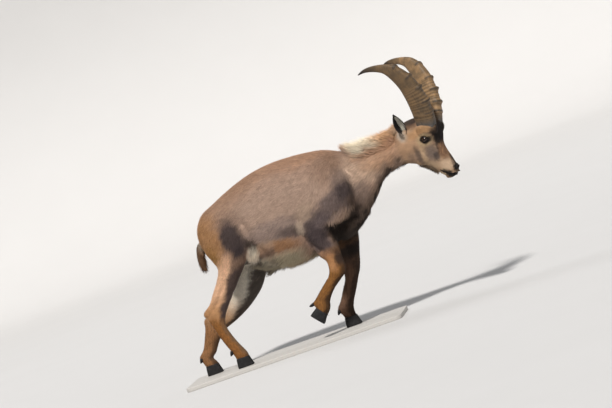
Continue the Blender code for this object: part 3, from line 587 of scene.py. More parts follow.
def loft(name, rows, steps=4, segments=40, fullness=1.0):
    """A closed form through one ring for each row."""
    bm = bmesh.new()
    rings = []
    for ax, az, bx, bz, width, side, lean in smooth_rows(rows, steps):
        ring = bmesh.ops.create_circle(bm, segments=segments, radius=1.0)["verts"]
        middle = Vector(((ax + bx) / 2, side, (az + bz) / 2))
        reach = Vector(((ax - bx) / 2, 0.0, (az - bz) / 2))
        for v in ring:
            along = v.co.x
            across = math.copysign(abs(v.co.y) ** fullness, v.co.y)
            v.co = middle + along * reach
            v.co.y += across * width * (1 + lean * along)
        rings.append(ring)
    close_rings(bm, rings)
    return object_of(bm, name)


def ball(name, middle, radii, turn=(0.0, 0.0, 0.0), segments=28):
    """An ellipsoid, turned about X, then Y, then Z by the given degrees."""
    bm = bmesh.new()
    bmesh.ops.create_uvsphere(bm, u_segments=segments, v_segments=segments * 2 // 3, radius=1.0)
    turned = Matrix.Identity(4)
    for axis, angle in zip("XYZ", turn):
        turned = Matrix.Rotation(math.radians(angle), 4, axis) @ turned
    bm.transform(Matrix.Translation(middle) @ turned @ Matrix.Diagonal((*radii, 1.0)))
    return object_of(bm, name)


def in_head(place):
    """Points of the ground frame in the head's own frame."""
    back = np.array(HEAD_PLACE.inverted())
    return place @ back[:3, :3].T + back[:3, 3]


def on_side(point, side):
    """A point of the left side, or its mirror point where the side is -1."""
    return point[0], side * point[1], point[2]


def placed(obj, matrix):
    obj.data.transform(matrix)
    return obj


def settled(obj, body="root"):
    """Moves a finished piece from the ground frame onto the base, and lets it ride."""
    obj.data.transform(Matrix.Translation(STANCE))
    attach(obj, body)
    return obj


def head_forms():
    """The masses of the skull and the muzzle, both sides alike."""
    forms = [loft("skull", HEAD, steps=5, segments=48, fullness=0.9)]
    for side in (-1, 1):
        eye = Vector(on_side(EYE_PLACE, side))
        brow = eye + Vector((0.004, -side * 0.004, 0.021))
        forms += [
            ball("orbit", eye + Vector((-0.002, -side * 0.008, 0.002)), (0.032, 0.0215, 0.026)),
            ball("lids", eye, (LID_RADIUS, LID_RADIUS, LID_RADIUS)),
            ball("brow", brow, (0.030, 0.0145, 0.0085), (0, -8, 0)),
            ball("cheek", (0.093, side * 0.028, 0.628), (0.048, 0.021, 0.050)),
            ball("cheek_ridge", (0.165, side * 0.034, 0.655), (0.045, 0.010, 0.008), (0, 62, 0)),
            ball("ear_root", (0.060, side * 0.036, 0.729), (0.022, 0.014, 0.022)),
            ball("horn_root", (0.166, side * 0.034, 0.722), (0.054, 0.0325, 0.043), (0, 8, 0)),
            ball("nostril_wing", (0.219, side * 0.0165, 0.528), (0.015, 0.0105, 0.013)),
            ball("upper_lip", (0.205, side * 0.016, 0.512), (0.025, 0.0105, 0.0090), (0, 26, 0)),
            ball("lower_lip", (0.190, side * 0.012, 0.498), (0.026, 0.008, 0.0065), (0, 16, 0)),
        ]
    forms.append(ball("chin", (0.185, 0.0, 0.496), (0.024, 0.016, 0.010)))
    return [placed(form, HEAD_PLACE) for form in forms]


def body_forms():
    forms = [
        loft("trunk", TRUNK, steps=4, segments=64, fullness=0.88),
        loft("neck_form", NECK, steps=4, segments=48, fullness=0.95),
        loft("tail_form", TAIL, steps=4, segments=24),
    ]
    for rows, *_ in LEGS.values():
        forms.append(loft("leg", rows, steps=4, segments=32))
    for side in (-1, 1):
        forms += [
            ball("shoulder_blade", (0.655, side * 0.078, 0.650), (0.058, 0.032, 0.095), (0, 12, 0)),
            ball("upper_arm", (0.640, side * 0.105, 0.565), (0.100, 0.042, 0.050), (0, -30, 0)),
            ball("haunch", (0.135, side * 0.086, 0.580), (0.095, 0.040, 0.100)),
        ]
    forms.append(ball("sheath", (0.285, 0.0, 0.378), (0.040, 0.018, 0.020), (0, -12, 0)))
    return forms + head_forms()


def spot(place, x, z, half_x, half_z, turn=0.0, edge=0.35):
    """A soft-edged ellipse of the side view, turned by degrees: 1 inside and 0 outside."""
    c, s = math.cos(math.radians(turn)), math.sin(math.radians(turn))
    ahead, up = place[:, 0] - x, place[:, 2] - z
    reach = np.hypot((ahead * c + up * s) / half_x, (up * c - ahead * s) / half_z)
    return 1 - ramp(reach, 1 - edge, 1 + edge)


def leg_sections(place, rows):
    """Where each point lies in a leg: down it from 0 to 1, and back to front from -1 to 1."""
    fine = np.array(smooth_rows(rows, 3))
    middle = (fine[:, 0:2] + fine[:, 2:4]) / 2
    half = (fine[:, 0:2] - fine[:, 2:4]) / 2
    flat = place[:, [0, 2]]
    down, ahead, way = np.zeros(len(place)), np.zeros(len(place)), np.zeros((len(place), 3))
    best = np.full(len(place), np.inf)
    drop = np.gradient(middle, axis=0)
    for i in range(len(fine)):
        length = np.linalg.norm(half[i])
        apart = flat - middle[i]
        along = apart @ half[i] / length**2
        off = np.linalg.norm(apart - along[:, None] * half[i], axis=1)
        off += np.maximum(np.abs(along) - 1.2, 0) * length
        nearer = off < best
        best[nearer] = off[nearer]
        down[nearer] = i / (len(fine) - 1)
        ahead[nearer] = along[nearer]
        way[nearer] = (drop[i, 0], 0.0, drop[i, 1])
    return down, ahead, unit(way)


def on_head(place):
    """1 on the head, 0 on the neck."""
    return ramp(in_head(place)[:, 0], -0.005, 0.025) * ramp(place[:, 0], 0.97, 1.0)


def leg_of(place):
    """Yields each leg's name and rows, and a mask of the points below the body that are its own."""
    x, y, z = place.T
    for name, (rows, side, *_) in LEGS.items():
        near = x < 0.34 if name.startswith("hind") else x > 0.36
        yield name, rows, (y * side > 0) & near & (z < 0.62)


def height_of(line, x):
    """The height, or other value, of a line given as points, at each x."""
    return np.interp(x, *zip(*line))


def throat_line(x):
    """Height of the underside of chest and neck."""
    return height_of(THROAT, x)


def side_view(place):
    """Each point, or its mirror point on the right side, as the camera sees it: ahead and up."""
    x, y, z = place.T
    ahead = (x - VIEW_X) * math.cos(CAMERA_AZIMUTH) - np.abs(y) * math.sin(CAMERA_AZIMUTH)
    return np.stack([VIEW_X + ahead, y, z], axis=1)


def markings_and_painted_light(place):
    """The coat's colour at each point of the ground frame, for skin and tufts alike: markings, with
    painted shade and painted sunlight in places.
    """
    tints = bpy.context.scene.ibex_colours
    shade = {name: np.array(getattr(tints, name)) for name in IbexColours.__annotations__}
    seen = side_view(place)
    torn, frayed = strayed(place, 0.05, 3, 0.5), strayed(place, 0.012, 7, 0.4)
    p = seen + 0.007 * torn + 0.006 * frayed
    ahead, low = p[:, 0], -p[:, 2]
    x, y, z = place[:, 0], np.abs(place[:, 1]), place[:, 2]
    outer = ramp(y, 0.02, 0.05)
    inner = 1 - outer
    colour = np.tile(shade["tan"], (len(place), 1))

    def paint(mask, tint, strength=1.0):
        tint = shade[tint] if isinstance(tint, str) else tint
        colour[:] = mix(colour, tint, (np.asarray(mask) * strength)[:, None])

    def dab(x, z, half_x, half_z, turn, tint, strength, edge=0.5):
        ellipse = thousandths((x, z, half_x, half_z))
        paint(spot(p, *ellipse, turn, edge) * outer, tint, strength)

    paint(spot(p, 0.15, 0.73, 0.24, 0.075, 22, 0.5), (0.33, 0.19, 0.115), 0.75)
    paint(spot(p, 0.60, 0.80, 0.26, 0.040, 0, 0.6), (0.40, 0.225, 0.135), 0.65)
    dab(400, 630, 270, 110, 0, "pinkish", 0.75)
    dab(350, 530, 170, 50, 0, (0.27, 0.205, 0.18), 0.7)
    dab(500, 560, 50, 35, 40, (0.44, 0.32, 0.235), 0.6)
    dab(800, 665, 130, 80, 8, (0.56, 0.40, 0.295), 0.8)
    dab(910, 685, 100, 55, 5, (0.46, 0.275, 0.17), 0.85)
    dab(775, 565, 45, 45, 35, (0.20, 0.145, 0.12), 0.75)
    dab(655, 705, 60, 60, 20, (0.26, 0.165, 0.115), 0.65)
    dab(700, 745, 35, 45, 0, (0.24, 0.145, 0.095), 0.5)
    dab(695, 650, 40, 50, 10, "slate", 0.50)
    dab(630, 560, 110, 52, 28, "slate", 0.85, 0.45)
    dab(700, 598, 44, 46, 20, "dark", 0.85, 0.6)
    dab(535, 480, 70, 55, 35, (0.105, 0.080, 0.080), 0.9, 0.4)
    dab(520, 420, 46, 85, 15, (0.080, 0.060, 0.060), 0.95, 0.4)
    dab(462, 505, 20, 28, 0, (0.38, 0.29, 0.22), 0.6)
    dab(640, 500, 60, 20, 12, (0.20, 0.130, 0.095), 0.6)
    # Chest front near black: its dark hair, deepened as painted shade.
    dab(735, 490, 52, 62, 30, "black", 0.9)
    dab(415, 505, 55, 24, -12, (0.12, 0.088, 0.080), 0.8)
    dab(340, 465, 100, 26, -8, (0.30, 0.15, 0.07), 0.85)
    dab(290, 485, 50, 18, 0, (0.38, 0.27, 0.19), 0.6)
    # Under the belly the cream is painted darker and olive: pale hair with painted shade and a
    # painted greenish reflection; towards the elbows darker still.
    below = ramp(low, -0.445, -0.415)
    belly = below * between(ahead, 0.19, 0.23, 0.40, 0.47)
    paint(belly, (0.33, 0.28, 0.19), 0.9)
    paint(below * between(ahead, 0.42, 0.47, 0.55, 0.60) * inner, (0.16, 0.13, 0.09), 0.9)
    paint(belly * (1 - ramp(y, 0.03, 0.09)), "cream", 0.4)
    # Under the chest between the forelegs, near black: partly dark hair, partly painted shade.
    shaded_breast = ramp(low, -0.500, -0.468) * between(ahead, 0.555, 0.590, 0.74, 0.80)
    paint(shaded_breast, "black", 0.97)
    dab(160, 470, 36, 62, -15, "dark", 0.93, 0.4)
    paint(spot(p, 0.226, 0.462, 0.017, 0.030, -20), "cream", 0.85)
    # Painted shadow, near black, in the fold before the thigh.
    dab(228, 512, 20, 34, 25, "black", 0.85)
    dab(45, 580, 75, 125, 0, "orange", 0.9, 0.6)
    dab(35, 505, 45, 55, 0, (0.36, 0.185, 0.060), 0.8)
    mottle = ramp(ripple(place, 0.012, 12), 0.25, 0.8)
    dab(45, 550, 40, 70, 0, (0.15, 0.075, 0.032), 0.55 * mottle)
    dab(165, 640, 60, 40, 0, (0.21, 0.135, 0.10), 0.6)
    dab(158, 545, 54, 95, 0, "dark", 0.95, 0.35)
    # Peach behind the thigh: pale hair, painted lighter as painted sunlight.
    dab(90, 455, 32, 60, -25, "peach", 0.8)
    rear = ramp(-x, -0.035, 0.0) * between(z, 0.42, 0.48, 0.60, 0.64)
    paint(rear * inner, (0.55, 0.47, 0.36), 0.8)
    # Under the throat a dark band and a near black one: partly the throat's dark hair, partly
    # painted shade on the neck's underside.
    under = seen[:, 2] - throat_line(x) + 0.018 * torn[:, 2] + 0.010 * frayed[:, 0]
    front = ramp(x, 0.64, 0.74)
    paint((1 - ramp(under, 0.030, 0.070)) * front, (0.24, 0.17, 0.13), 0.6)
    paint((1 - ramp(under, 0.006, 0.036)) * front, "black", 0.92)
    over = height_of(NAPE, x) - z + 0.008 * torn[:, 2]
    nape = between(x, 0.76, 0.82, 1.02, 1.05)
    paint((1 - ramp(over, 0.020, 0.055)) * nape, (0.38, 0.185, 0.09), 0.8)
    crest = mix(np.array((0.50, 0.30, 0.165)), shade["cream"], ramp(-x, -0.97, -0.88)[:, None])
    paint((1 - ramp(over, 0.010, 0.034)) * nape, crest, 0.9)
    paint_legs(place, paint, torn, frayed)
    paint_tail(place, paint)
    paint_head(place, paint)
    broken = 1 + 0.09 * ripple(place * (0.5, 1, 1), 0.03, 9)
    broken += 0.07 * ripple(place * (0.4, 1, 1), 0.008, 10)
    return np.clip(colour * broken[:, None], 0.0, 1.0)


def paint_legs(place, paint, torn, frayed):
    """Pale or orange behind, dark in front, darkest above the hooves and on the inner sides;
    painted shade darkens the forelegs' inner sides, painted sunlight lightens the peach.
    """
    spots = ramp(ripple(place, 0.012, 15), 0.15, 0.7)
    for name, rows, mine in leg_of(place):
        hind = name.startswith("hind")
        down, ahead, _ = leg_sections(place, rows)
        middle = np.interp(down, np.linspace(0, 1, len(rows)), [row[5] for row in rows])
        outside = ramp(np.abs(place[:, 1]) - np.abs(middle), -0.008, 0.010)
        ahead = ahead + 0.16 * torn[:, 0] + 0.16 * frayed[:, 0]
        top = (-0.50, -0.42) if hind else (-0.39, -0.34)
        mask = mine * ramp(-place[:, 2] + 0.01 * torn[:, 2], *top)
        sides = zip((np.ones(len(place)), 1 - outside), LEG_TINTS["hind" if hind else "fore"])
        for share, (back, front, low_back, low_front, joint, start, low_start) in sides:
            low = share * ramp(down + 0.02 * torn[:, 2], joint - 0.06, joint + 0.04)
            paint(mask * share, back)
            if hind:
                paint(mask * share * ramp(down, 0.38, 0.56), "orange", 0.9)
            begin = start + (0.50 * ramp(down, 0.34, 0.60) if hind else 0.0)
            paint(mask * share * ramp(ahead, begin - 0.25, begin + 0.30), front, 0.95)
            paint(mask * low, low_back)
            paint(mask * low * spots, (0.055, 0.030, 0.016), 0.65)
            paint(mask * low * ramp(ahead, low_start - 0.25, low_start + 0.35), low_front, 0.9)
        if not hind:
            behind = (1 - ramp(ahead, -0.75, -0.35)) * (1 - ramp(down, 0.36, 0.46))
            paint(mask * outside * behind, "slate", 0.9)
        paint(mask * ramp(down + 0.01 * frayed[:, 2], 0.945, 0.985), "black", 0.75)


def paint_tail(place, paint):
    """Dark above and at the sides."""
    x, y, z = place.T
    tail = ramp(-x, -0.012, 0.004) * (np.abs(y) < 0.026) * between(z, 0.44, 0.46, 0.595, 0.615)
    paint(tail, (0.060, 0.040, 0.030), 0.95)


def paint_head(place, paint):
    """Dark brow, forehead, cheek, bridge of the nose and lips on a fawn face, with painted shade
    along the mouth and under the chin.
    """
    head = in_head(place)
    near_side = head * (1, 0, 1) - np.abs(head) * (0, 1, 0)
    seen = side_view(near_side @ HEAD_AXES.T + np.array(HEAD_PIVOT))
    p = seen + 0.0045 * strayed(place, 0.016, 5)
    face = on_head(place)

    def dab(x, z, half_x, half_z, turn, tint, strength, edge=0.45):
        ellipse = thousandths((x, z, half_x, half_z))
        paint(face * spot(p, *ellipse, turn, edge), tint, strength)

    paint(face, (0.38, 0.245, 0.150), 0.9)
    dab(1020, 685, 50, 50, 0, (0.45, 0.275, 0.165), 0.8)
    dab(1018, 730, 20, 26, 10, (0.42, 0.37, 0.31), 0.75)
    dab(1075, 718, 45, 20, 0, (0.42, 0.235, 0.115), 0.75)
    dab(1110, 732, 40, 14, -14, (0.33, 0.185, 0.085), 0.75)
    dab(1075, 780, 44, 20, 0, (0.028, 0.021, 0.019), 0.92)
    dab(1070, 757, 32, 11, 0, (0.13, 0.070, 0.042), 0.7)
    dab(1128, 706, 26, 6, -14, (0.10, 0.065, 0.038), 0.75)
    dab(1060, 625, 12, 46, 8, (0.105, 0.074, 0.060), 0.85)
    dab(1030, 622, 20, 28, 0, (0.24, 0.16, 0.115), 0.65)
    dab(1082, 628, 12, 54, 4, (0.46, 0.315, 0.195), 0.85)
    dab(1114, 622, 26, 42, -6, (0.160, 0.122, 0.104), 0.85, 0.6)
    dab(1130, 597, 12, 22, -6, (0.048, 0.038, 0.037), 0.8)
    dab(1146, 635, 7, 36, -4, (0.035, 0.027, 0.025), 0.85)
    dab(1098, 568, 34, 20, -28, (0.38, 0.27, 0.175), 0.75)
    dab(1172, 620, 26, 54, -14, (0.13, 0.070, 0.042), 0.92)
    mottle = ramp(ripple(place, 0.010, 14), 0.1, 0.7)
    dab(1168, 618, 22, 44, -14, (0.34, 0.185, 0.095), 0.75 * mottle)
    dab(1196, 580, 13, 68, -14, (0.028, 0.019, 0.016), 0.88)
    dab(1160, 668, 18, 22, 0, (0.024, 0.018, 0.015), 0.93)
    dab(1150, 690, 14, 32, 10, (0.022, 0.016, 0.014), 0.93)
    dab(1188, 700, 36, 54, 0, (0.011, 0.008, 0.008), 0.98)
    dab(1158, 548, 30, 24, -30, (0.44, 0.315, 0.215), 0.92)
    dab(1127, 512, 16, 26, -35, (0.50, 0.37, 0.235), 0.88)
    dab(1200, 525, 18, 24, 0, (0.010, 0.008, 0.008), 0.98)
    # The next three dabs lie along the mouth and under the chin: partly dark lips, partly painted
    # shade under the upper lip and the chin.
    dab(1152, 512, 28, 10, -42, (0.012, 0.010, 0.009), 0.96)
    dab(1174, 495, 24, 12, -12, (0.012, 0.010, 0.009), 0.96)
    dab(1165, 478, 30, 8, -6, (0.035, 0.026, 0.021), 0.8)
    jaw = (1 - ramp(np.abs(head[:, 1]), 0.012, 0.026)) * ramp(-head[:, 2], -0.61, -0.585)
    paint(face * jaw * (1 - ramp(p[:, 0], 1.10, 1.13)), (0.045, 0.032, 0.026), 0.85)
    side = face * ramp(np.abs(head[:, 1]), 0.010, 0.022)
    for x, z, half_x, half_z, turn, edge, tint, strength in EYE_MARKS:
        ring = spot(head, EYE_PLACE.x + x, EYE_PLACE.z + z, half_x, half_z, turn, edge)
        paint(side * ring, tint, strength)
    # The mouth's line near black: dark lips, and painted shade in its crease.
    paint(face * near_mouth(head, 0.0055), (0.014, 0.011, 0.011), 0.95)


def near_mouth(head, reach):
    """1 on the line of the mouth and 0 beyond the reach from it."""
    return 1 - ramp(near_line(head[:, [0, 2]], MOUTH_LINE), reach * 0.3, reach)


def hair_length(place):
    """How long the short coat is at each point: shortest on the face and the feet."""
    x, _, z = place.T
    head, face = in_head(place), on_head(place)
    length = bpy.context.scene.ibex_sizes.hair + 0.006 * ramp(x, 0.74, 0.82)
    length += 0.008 * (1 - ramp(z - throat_line(x), 0.02, 0.07)) * ramp(x, 0.66, 0.74)
    length += 0.008 * ramp(-z, -0.43, -0.40) * between(x, 0.22, 0.26, 0.46, 0.50)
    muzzle = face * ramp(-head[:, 2], -0.66, -0.56) * ramp(head[:, 0], 0.10, 0.16)
    for short, where in ((0.0085, ramp(-z, -0.44, -0.30)), (0.0075, face), (0.0040, muzzle)):
        length = mix(length, short, where)
    return length


def lie(place, normals, kind):
    """The way that hair runs over the skin at each point, on the ears from root to tip."""
    x, _, z = place.T
    head = in_head(place)
    along = np.array((-1.0, 0.0, -0.42))
    throat = (1 - ramp(z - throat_line(x), 0.0, 0.06)) * ramp(x, 0.70, 0.78)
    turns = [
        (ramp(z, 0.74, 0.80), (-1.0, 0.0, -0.10)),
        (spot(place, 0.66, 0.60, 0.10, 0.16, 0, 0.5), (-0.45, 0.0, -1.0)),
        (spot(place, 0.10, 0.55, 0.14, 0.16, 0, 0.5), (-0.50, 0.0, -1.0)),
        (ramp(-z, -0.44, -0.40) * between(x, 0.20, 0.26, 0.50, 0.55), (-1.0, 0.0, 0.05)),
        (ramp(x, 0.74, 0.84), (-0.95, 0.0, -0.55)),
        (throat, (-0.72, 0.0, -0.72)),
    ]
    for _, rows, mine in leg_of(place):
        turns.append((mine * ramp(-z, -0.50, -0.38), leg_sections(place, rows)[2]))
    nose = ramp(head[:, 0] + 0.55 * (0.70 - head[:, 2]), 0.185, 0.235)[:, None]
    under_jaw = (ramp(-head[:, 2], -0.60, -0.54) * ramp(-head[:, 0], -0.19, -0.15))[:, None]
    face = mix(along, np.array((-0.45, 0.0, 0.9)), nose)
    face = mix(face, np.array((-0.8, 0.0, -0.6)), under_jaw)
    turns.append((on_head(place), face @ HEAD_AXES.T))
    way = np.tile(along, (len(place), 1))
    for mask, to in turns:
        way = mix(way, np.array(to), mask[:, None])
    way = unit(way) + 0.07 * np.stack([ripple(place, 0.12, 21 + i) for i in range(3)], axis=1)
    way = unit(way - normals * (way * normals).sum(axis=1, keepdims=True))
    for root, tip, _ in EARS.values():
        mine = (kind > 0) & (head[:, 1] * root[1] > 0)
        along = HEAD_AXES @ unit(np.array(tip) - np.array(root))
        way[mine] = unit(along - normals[mine] * (normals[mine] @ along)[:, None])
    return way


def arrays(mesh):
    """The mesh's vertices, their normals and its triangles."""
    count = len(mesh.vertices)
    place, normals = np.zeros(count * 3), np.zeros(count * 3)
    mesh.vertices.foreach_get("co", place)
    mesh.vertex_normals.foreach_get("vector", normals)
    mesh.calc_loop_triangles()
    triangles = np.zeros(len(mesh.loop_triangles) * 3, int)
    mesh.loop_triangles.foreach_get("vertices", triangles)
    return place.reshape(-1, 3), normals.reshape(-1, 3), triangles.reshape(-1, 3)


def moved(mesh, place):
    mesh.vertices.foreach_set("co", np.asarray(place, np.float32).ravel())
    mesh.update()


def softness(place):
    """How far the flesh is smoothed: fully on the body, little on legs and head."""
    on_body = ramp(place[:, 2], 0.34, 0.46) * (1 - ramp(place[:, 0], 0.96, 1.04))
    return 0.09 + 0.91 * on_body


def blended_flesh(voxel):
    """All flesh as one closed skin, with the forms blended into each other."""
    forms = body_forms()
    bm = bmesh.new()
    for form in forms:
        take(bm, form)
    flesh = object_of(bm, "skin")
    remesh = flesh.modifiers.new("skin", "REMESH")
    remesh.mode = "VOXEL"
    remesh.voxel_size = voxel
    applied(flesh)
    place = arrays(flesh.data)[0]
    soft = flesh.vertex_groups.new(name="soft")
    grade = np.round(softness(place), 2)
    for level in np.unique(grade):
        soft.add(np.flatnonzero(grade == level).tolist(), float(level), "REPLACE")
    smooth = flesh.modifiers.new("blend", "SMOOTH")
    smooth.factor = 0.5
    smooth.iterations = round(30 * (0.0055 / voxel) ** 2)
    smooth.vertex_group = "soft"
    applied(flesh)
    flesh.vertex_groups.clear()
    return flesh


def near_line(flat, line):
    """How far each point lies from a line of straight stretches."""
    distance = np.full(len(flat), np.inf)
    for a, b in zip(np.array(line), np.array(line[1:])):
        t = np.clip((flat - a) @ (b - a) / ((b - a) @ (b - a)), 0, 1)
        distance = np.minimum(distance, np.linalg.norm(flat - a - t[:, None] * (b - a), axis=1))
    return distance


def folds(place):
    """How deep the folds of the flanks, shoulders, thighs and neck press in at each point."""
    seen = side_view(place)
    depth = np.zeros(len(place))
    outer = ramp(np.abs(place[:, 1]), 0.020, 0.050)
    for line, half_width, deep in FOLDS:
        reach = near_line(seen[:, [0, 2]], line) / half_width
        depth += deep * np.exp(-(reach**2)) * outer
    for x, z, half_x, half_z, out in MUSCLES:
        depth -= out * spot(seen, x, z, half_x, half_z, 0, 0.6) * outer
    return depth


def inside_coat(flesh):
    """Draws the skin in by the depth of the short coat, and presses in its folds."""
    place, normals, _ = arrays(flesh.data)
    depth = COAT_DEPTH * hair_length(place) + folds(place)
    moved(flesh.data, place - normals * depth[:, None])


def thinned(obj, triangles):
    count = sum(len(f.vertices) - 2 for f in obj.data.polygons)
    if count > triangles:
        thin = obj.modifiers.new("thin", "DECIMATE")
        thin.ratio = triangles / count
        applied(obj)
    return obj


def refined(obj, wanted, rounds=2):
    """Splits the faces whose middle is wanted, to carry fine folds."""
    for _ in range(rounds):
        bm = bmesh.new()
        bm.from_mesh(obj.data)
        middles = np.array([f.calc_center_median() for f in bm.faces])
        chosen = wanted(middles)
        edges = {e for f, take in zip(bm.faces, chosen) if take for e in f.edges}
        bmesh.ops.subdivide_edges(bm, edges=list(edges), cuts=1, use_grid_fill=True)
        bmesh.ops.triangulate(bm, faces=[f for f in bm.faces if len(f.verts) > 4])
        bm.to_mesh(obj.data)
        bm.free()
    return obj


def fine_face(place):
    """Where the face needs small faces: round the eyes, along the mouth, at the nostrils."""
    head = in_head(place)
    far = np.linalg.norm(head * (1, 0, 1) - np.array((EYE_PLACE.x, 0, EYE_PLACE.z)), axis=1)
    eye = (far < 0.026) & (np.abs(head[:, 1]) > 0.030)
    nose = np.linalg.norm(np.abs(head) - np.array(NOSTRIL), axis=1) < 0.017
    return (on_head(place) > 0.5) & (eye | nose | (near_mouth(head, 0.009) > 0.05))


def sculpt_face(skin):
    """Opens the lids round the eyeballs, and presses in the mouth and the nostrils."""
    place, normals, _ = arrays(skin.data)
    head = in_head(place)
    head_normals = normals @ HEAD_AXES
    on_face = on_head(place)
    mouth = near_mouth(head, 0.0030) * on_face
    lips = near_mouth(head, 0.0075) * on_face * (1 - near_mouth(head, 0.0028))
    head -= head_normals * (0.0034 * mouth - 0.0008 * lips)[:, None]
    c, s = math.cos(math.radians(-40)), math.sin(math.radians(-40))
    for side in (-1, 1):
        ahead, aside, up = (head - np.array(on_side(NOSTRIL, side))).T
        long, high = (ahead * c - up * s) / 0.0080, (ahead * s + up * c) / 0.0034
        deep = 1 - ramp(np.sqrt(long**2 + high**2 + (aside / 0.011) ** 2), 0.6, 1.25)
        head -= head_normals * (0.0062 * deep * on_face)[:, None]
        head = open_lids(head, side, on_face)
    moved(skin.data, head @ HEAD_AXES.T + np.array(HEAD_PIVOT))


def open_lids(head, side, on_face):
    """Lays the lids just over the eyeball, with an almond opening between them."""
    eye = np.array(on_side(EYE_PLACE, side))
    apart = head - eye
    radius = np.linalg.norm(apart, axis=1)
    ahead = apart[:, 0] * 0.97 + apart[:, 2] * 0.22
    up = apart[:, 2] * 0.97 - apart[:, 0] * 0.22
    almond = np.sqrt(np.clip(1 - (ahead / 0.0180) ** 2, 0.02, 1))
    lid_height = np.where(up > 0, 0.0108, 0.0088) * almond
    reach = np.maximum(np.abs(up) / lid_height, np.abs(ahead) / 0.0150)
    outward = (apart[:, 1] * side > 0.004) & (radius < 0.030) & (on_face > 0.5)
    within = (1 - ramp(reach, 0.90, 1.06)) * outward
    rim = ramp(reach, 0.95, 1.10) * (1 - ramp(reach, 1.25, 2.1)) * outward
    target = mix(radius, np.minimum(radius, EYE_RADIUS + 0.0022), rim)
    target = np.maximum(target, np.where(outward & (reach > 1.0), EYE_RADIUS + 0.0012, 0))
    return eye + unit(apart) * mix(target, 0.0135, within)[:, None]
def ear_wrap(share):
    """How far round the ear's edges curl at each height."""
    return np.radians(150 - 95 * share**0.6)


def ear(side_name):
    """A cupped leaf with a wall and a rolled rim, in the head's own frame."""
    root, tip, opening = (Vector(v) for v in EARS[side_name])
    bm = bmesh.new()
    bmesh.ops.create_grid(bm, x_segments=30, y_segments=26, size=1.0)
    along = (tip - root).normalized()
    open_way = (opening - along * opening.dot(along)).normalized()
    aside = along.cross(open_way)
    for v in bm.verts:
        u = (v.co.x + 1) / 2
        radius = 0.0125 + 0.010 * math.sin(math.pi * min(1.0, u * 1.05)) - 0.0085 * u**3
        angle = v.co.y * ear_wrap(u)
        spread = aside * math.sin(angle) - open_way * math.cos(angle)
        v.co = root + along * ((EAR_LENGTH - 0.003) * u) + spread * radius
    obj = object_of(bm, "ear_" + side_name)
    wall = obj.modifiers.new("wall", "SOLIDIFY")
    wall.thickness = 0.0026
    wall.offset = 0.0
    wall.use_rim = True
    applied(obj)
    return placed(obj, HEAD_PLACE)


def ear_skin(skin, place, count):
    """1 on the ears' outside and 2 in their cups; the first vertices are the body's own."""
    kind = np.zeros(len(place), int)
    rest = np.arange(len(place)) >= count
    head = in_head(place)
    normals = arrays(skin.data)[1] @ HEAD_AXES
    for root, tip, _ in EARS.values():
        mine = rest & (head[:, 1] * root[1] > 0)
        along = unit(np.array(tip) - np.array(root))
        axis = np.array(root) + np.outer((head - np.array(root)) @ along, along)
        inward = ((axis - head) * normals).sum(axis=1) > 0
        kind[mine] = np.where(inward[mine], 2, 1)
    return kind


def set_point(mesh, name, values, field="value"):
    """A number, vector or colour at each vertex, as an attribute that the materials read."""
    kind = {"value": "FLOAT", "vector": "FLOAT_VECTOR", "color": "FLOAT_COLOR"}[field]
    layer = mesh.attributes.new(name, kind, "POINT")
    layer.data.foreach_set(field, np.asarray(values, np.float32).ravel())


def set_markings(mesh, colours):
    opaque = np.ones((len(colours), 1))
    set_point(mesh, "markings_and_painted_light", np.concatenate([colours, opaque], axis=1), "color")


def ear_places(head):
    """Where points lie on their ear: up it from 0 to 1, and round it from -1, behind, to 1."""
    up, across = np.zeros(len(head)), np.zeros(len(head))
    for root, tip, opening in EARS.values():
        mine = head[:, 1] * root[1] > 0
        along = unit(np.array(tip) - np.array(root))
        open_way = unit(np.array(opening) - along * (np.array(opening) @ along))
        aside = np.cross(along, open_way)
        off = head[mine] - np.array(root)
        share = np.clip(off @ along / EAR_LENGTH, 0.0, 1.0)
        up[mine] = share
        across[mine] = np.arctan2(off @ aside, -(off @ open_way)) / ear_wrap(share)
    return up, across


def coat_colours(place, kind):
    """Markings with their painted shade and sunlight, and the ears' own colours: dark rims, black
    cups with a cream strip in front.
    """
    colour = markings_and_painted_light(place)
    up, across = ear_places(in_head(place))
    rim = np.maximum(ramp(np.abs(across), 0.70, 0.92), ramp(up, 0.84, 0.97))[:, None]
    outside = mix(np.array((0.17, 0.12, 0.085)), np.array((0.045, 0.036, 0.032)), rim)
    outside = mix(outside, colour, ramp(-up, -0.22, -0.05)[:, None])
    strip = between(across, 0.05, 0.30, 0.60, 0.85) * (1 - ramp(up, 0.75, 0.95))
    inside = mix(np.array((0.022, 0.019, 0.018)), np.array((0.58, 0.55, 0.47)), strip[:, None])
    kind = kind[:, None]
    return np.where(kind == 2, inside, np.where(kind == 1, outside, colour))


def fur_material(name, on_tufts):
    """Short coat: the markings with their painted shade and sunlight, broken by fine light and dark
    hairs, with a hairy bump.
    """
    s = Shader(name)
    place = s.place()
    colour = s.attribute("markings_and_painted_light")["Color"]
    fine = s.noise(s.place((0.30, 1.0, 1.0)), 620.0, 2.0)
    broad = s.noise(place, 22.0, 3.0)
    light = 0.78 + 0.30 * fine + 0.14 * broad
    if on_tufts:
        tip = Value(s, s.attribute("tip")["Fac"])
        light = light * (0.82 + 0.38 * tip)
    normal = s.bump(fine, 0.0012, 0.5 if on_tufts else 0.9)
    rough = 0.60 + 0.25 * s.noise(place, 60.0)
    s.finish(Base_Color=s.scaled(colour, light), Roughness=rough, Normal=normal)
    s.finish(Specular_IOR_Level=0.12, Sheen_Weight=0.02, Sheen_Roughness=0.45)
    return s.material


